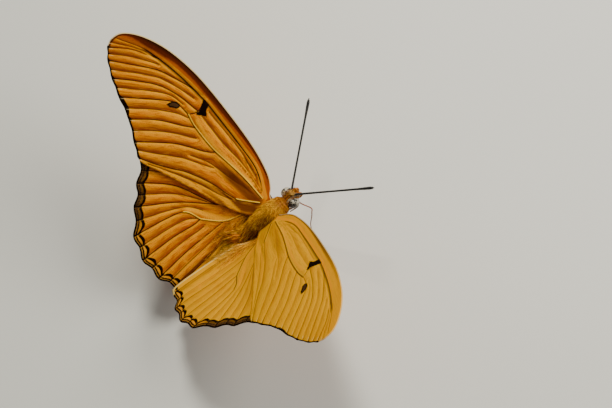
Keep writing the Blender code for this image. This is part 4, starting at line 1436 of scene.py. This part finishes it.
def make_palp(side, tree, skin, fur):
    """An upturned palp with a brush of scales."""
    path = smooth_line([(f, s * SIDES[side], u) for f, s, u in PALP_PATH], 0.06)
    radii = np.interp(np.linspace(0, 1, len(path)), np.linspace(0, 1, len(PALP_RADII)), PALP_RADII)
    palp = limb(f"{side}_palp_core", body_points(path), radii * MM, skin, f"palp_{side}")
    count = len(palp.data.vertices)
    flow = np.gradient(body_points(path), axis=0)
    flow /= np.linalg.norm(flow, axis=1)[:, None]
    write_field(palp.data, "lie", np.vstack([np.repeat(flow, PALP_SIDES, axis=0), flow[:1], flow[-1:]]))
    write_field(palp.data, "palp_cover", np.ones(count))
    write_field(palp.data, "long", np.ones(count))
    turn = np.concatenate([np.tile(np.arange(PALP_SIDES), len(path)), [0, 0]])
    pelt = np.tile(np.array(PALP_ORANGE), (count, 1))
    pelt = painted(pelt, np.isin(turn, PALP_PALE_SIDES).astype(float), PALP_PALE)
    write_field(palp.data, "pelt", pelt)
    along = np.concatenate([np.repeat(np.linspace(0, 1, len(path)), PALP_SIDES), [0, 1]])
    corners = np.zeros(len(palp.data.loops), np.int32)
    palp.data.loops.foreach_get("vertex_index", corners)
    unwrap = np.column_stack([turn / PALP_SIDES, along])[corners]
    write_map(palp.data, unwrap * (1 - 2 * MAP_MARGIN) + MAP_MARGIN)
    grow_coat(f"{side}_palp_brush", palp, tree, (*PALP_BRUSH, PALP_BRUSH_SEEDS[side]), fur)


def make_proboscis(finish):
    """A tapered tube with fine ribs."""
    line = smooth_line(PROBOSCIS_PATH, 0.05)
    share = np.linspace(0, 1, len(line))
    ribs = 1 + PROBOSCIS_RIB * np.sin(np.arange(len(line)) * 2 * math.pi / PROBOSCIS_RIB_STEPS)
    radii = PROBOSCIS_RADIUS * (1 - PROBOSCIS_TAPER * share) * ribs
    limb("proboscis_tube", body_points(line), radii * MM, finish, "proboscis")


def model_point(forward, sideways, height):
    """A place in the model's frame, counted from under the wing roots."""
    return np.array((sideways + BODY_SHIFT[0], -forward + BODY_SHIFT[1], height)) * MM


def stretch(start, end, count):
    return start + (end - start) * np.linspace(0, 1, count, endpoint=False)[:, None]


def make_leg(name, side, joints, finish):
    """Coxa, thigh, shin and a foot of five short joints."""
    sign = SIDES[side]
    coxa, hip, knee, ankle, heel, toe = joints
    places = [body_points([(f, s * sign, u)])[0] for f, s, u in (coxa, hip)]
    places += [model_point(f, s * sign, height) for f, s, height in (knee, ankle)]
    places += [model_point(f, s * sign, TARSUS_RADIUS + 0.02) for f, s in (heel, toe)]
    spans = [stretch(start, end, count) for start, end, count in zip(places, places[1:], LEG_SPANS.values())]
    line = np.vstack([*spans, places[-1:]])
    swell = np.mod(np.linspace(0, TARSUS_JOINTS - 0.001, LEG_SPANS["foot"] + 1), 1.0)
    radii = np.concatenate([
        np.linspace(*COXA_RADII, LEG_SPANS["coxa"]),
        THIGH_RADIUS + THIGH_SWELL * np.sin(np.linspace(0.5, 1.0, LEG_SPANS["thigh"]) * math.pi),
        SHIN_RADIUS + SHIN_SWELL * np.sin(np.linspace(0, 1, LEG_SPANS["shin"]) * math.pi * 0.9),
        np.linspace(*ANKLE_RADII, LEG_SPANS["ankle"]),
        TARSUS_RADIUS * (0.72 + 0.28 * swell),
    ])
    radii[-1] = TOE_RADIUS
    limb(f"{side}_{name}_limb", line, radii * MM, finish, f"{name}_{side}", LEG_SIDES)


def make_foreleg(side, finish):
    """A small tapered leg, folded under the thorax."""
    path = smooth_line([(f, s * SIDES[side], u) for f, s, u in FORELEG_PATH], 0.12)
    taper = np.linspace(*FORELEG_RADII, len(path))
    limb(f"{side}_foreleg_limb", body_points(path), taper * MM, finish, f"foreleg_{side}", 12)


def make_claws(side, name, joints, finish):
    """Two small hooks at the end of a foot."""
    heel, toe = (model_point(f, s * SIDES[side], TARSUS_RADIUS) for f, s in joints[-2:])
    ahead = (toe - heel) / np.linalg.norm(toe - heel)
    outward = np.cross(ahead, (0, 0, 1))
    bend = np.linspace(0, 1, 10)
    for number, spread in enumerate((1, -1)):
        sideways = np.outer(spread * (0.06 + 0.14 * bend), outward)
        upwards = np.outer(0.05 - 0.13 * bend**2, (0, 0, 1))
        line = toe + (np.outer(CLAW_LENGTH * bend, ahead) + sideways + upwards) * MM
        radii = (CLAW_RADIUS * (1 - bend) + 0.008) * MM
        limb(f"{side}_{name}_claw_{number + 1}", line, radii, finish, None, 8)


# Studio


def studio():
    """A pale floor, a soft key light, a fill and the camera."""
    floor = mesh_piece(
        "floor", [(-2, -2, 0), (2, -2, 0), (2, 2, 0), (-2, 2, 0)], [(0, 1, 2, 3)], [floor_finish()]
    )
    for name, direction, size, away, power, tint in LIGHTS:
        light = bpy.data.lights.new(name, "AREA")
        light.size = size
        light.energy = power
        light.color = tint
        lamp = bpy.data.objects.new(name, light)
        bpy.context.scene.collection.objects.link(lamp)
        towards = Vector(body_directions([direction])[0]).normalized()
        lamp.location = towards * away
        lamp.rotation_euler = towards.to_track_quat("Z", "Y").to_euler()
    world = bpy.data.worlds.new("studio")
    bpy.context.scene.world = world
    world.use_nodes = True
    sky = world.node_tree.nodes["Background"].inputs
    sky["Color"].default_value, sky["Strength"].default_value = SKY, SKY_STRENGTH

    lens = bpy.data.cameras.new("camera")
    lens.lens = VIEW_LENS
    lens.sensor_width = SENSOR
    lens.clip_start = 0.01
    camera = bpy.data.objects.new("camera", lens)
    bpy.context.scene.collection.objects.link(camera)
    axes = [Vector(body_directions([axis])[0]).normalized() for axis in (VIEW_RIGHT, VIEW_UP, VIEW_BACK)]
    spot = VIEW_RIGHT * VIEW_CENTRE[0] + VIEW_UP * VIEW_CENTRE[1] + VIEW_BACK * VIEW_DISTANCE
    turned = Matrix(axes).transposed().to_4x4()
    camera.matrix_world = Matrix.Translation(Vector(body_points([spot])[0])) @ turned
    bpy.context.scene.camera = camera


def main():
    sheets = {"forewing": Sheet(FOREWING), "hindwing": Sheet(HINDWING)}
    uppers = {"forewing": forewing_upper, "hindwing": hindwing_upper}
    wings = {}
    for name, sheet in sheets.items():
        under = wing_under(name)
        wings[name] = {side: make_wing(name, side, sheet, [uppers[name](side), under]) for side in SIDES}
    coat, rings = coat_growth(), ring_growth()
    skin, fur = make_skin(skin_finish()), pelt_finish("golden_fur")
    for name, tufts in COATS.items():
        grow_coat(name, skin, coat, tufts, fur)
    for side, wing in wings["hindwing"].items():
        grow_coat(f"hindwing_{side}_hair", wing, coat, (*HINDWING_HAIR, HINDWING_HAIR_SEEDS[side]), fur)
    eye = eye_finish()
    black, brown, red = (chitin_finish(name, *look) for name, look in CHITINS.items())
    brush = pelt_finish("palp_fur")
    for side in SIDES:
        make_eye(side, eye)
        make_feeler(side, rings, black)
        make_palp(side, coat, skin.data.materials[0], brush)
        for name, joints in WALKING_LEGS.items():
            make_leg(name, side, joints, brown)
            make_claws(side, name, joints, black)
        make_foreleg(side, brown)
    make_proboscis(red)
    studio()


main()
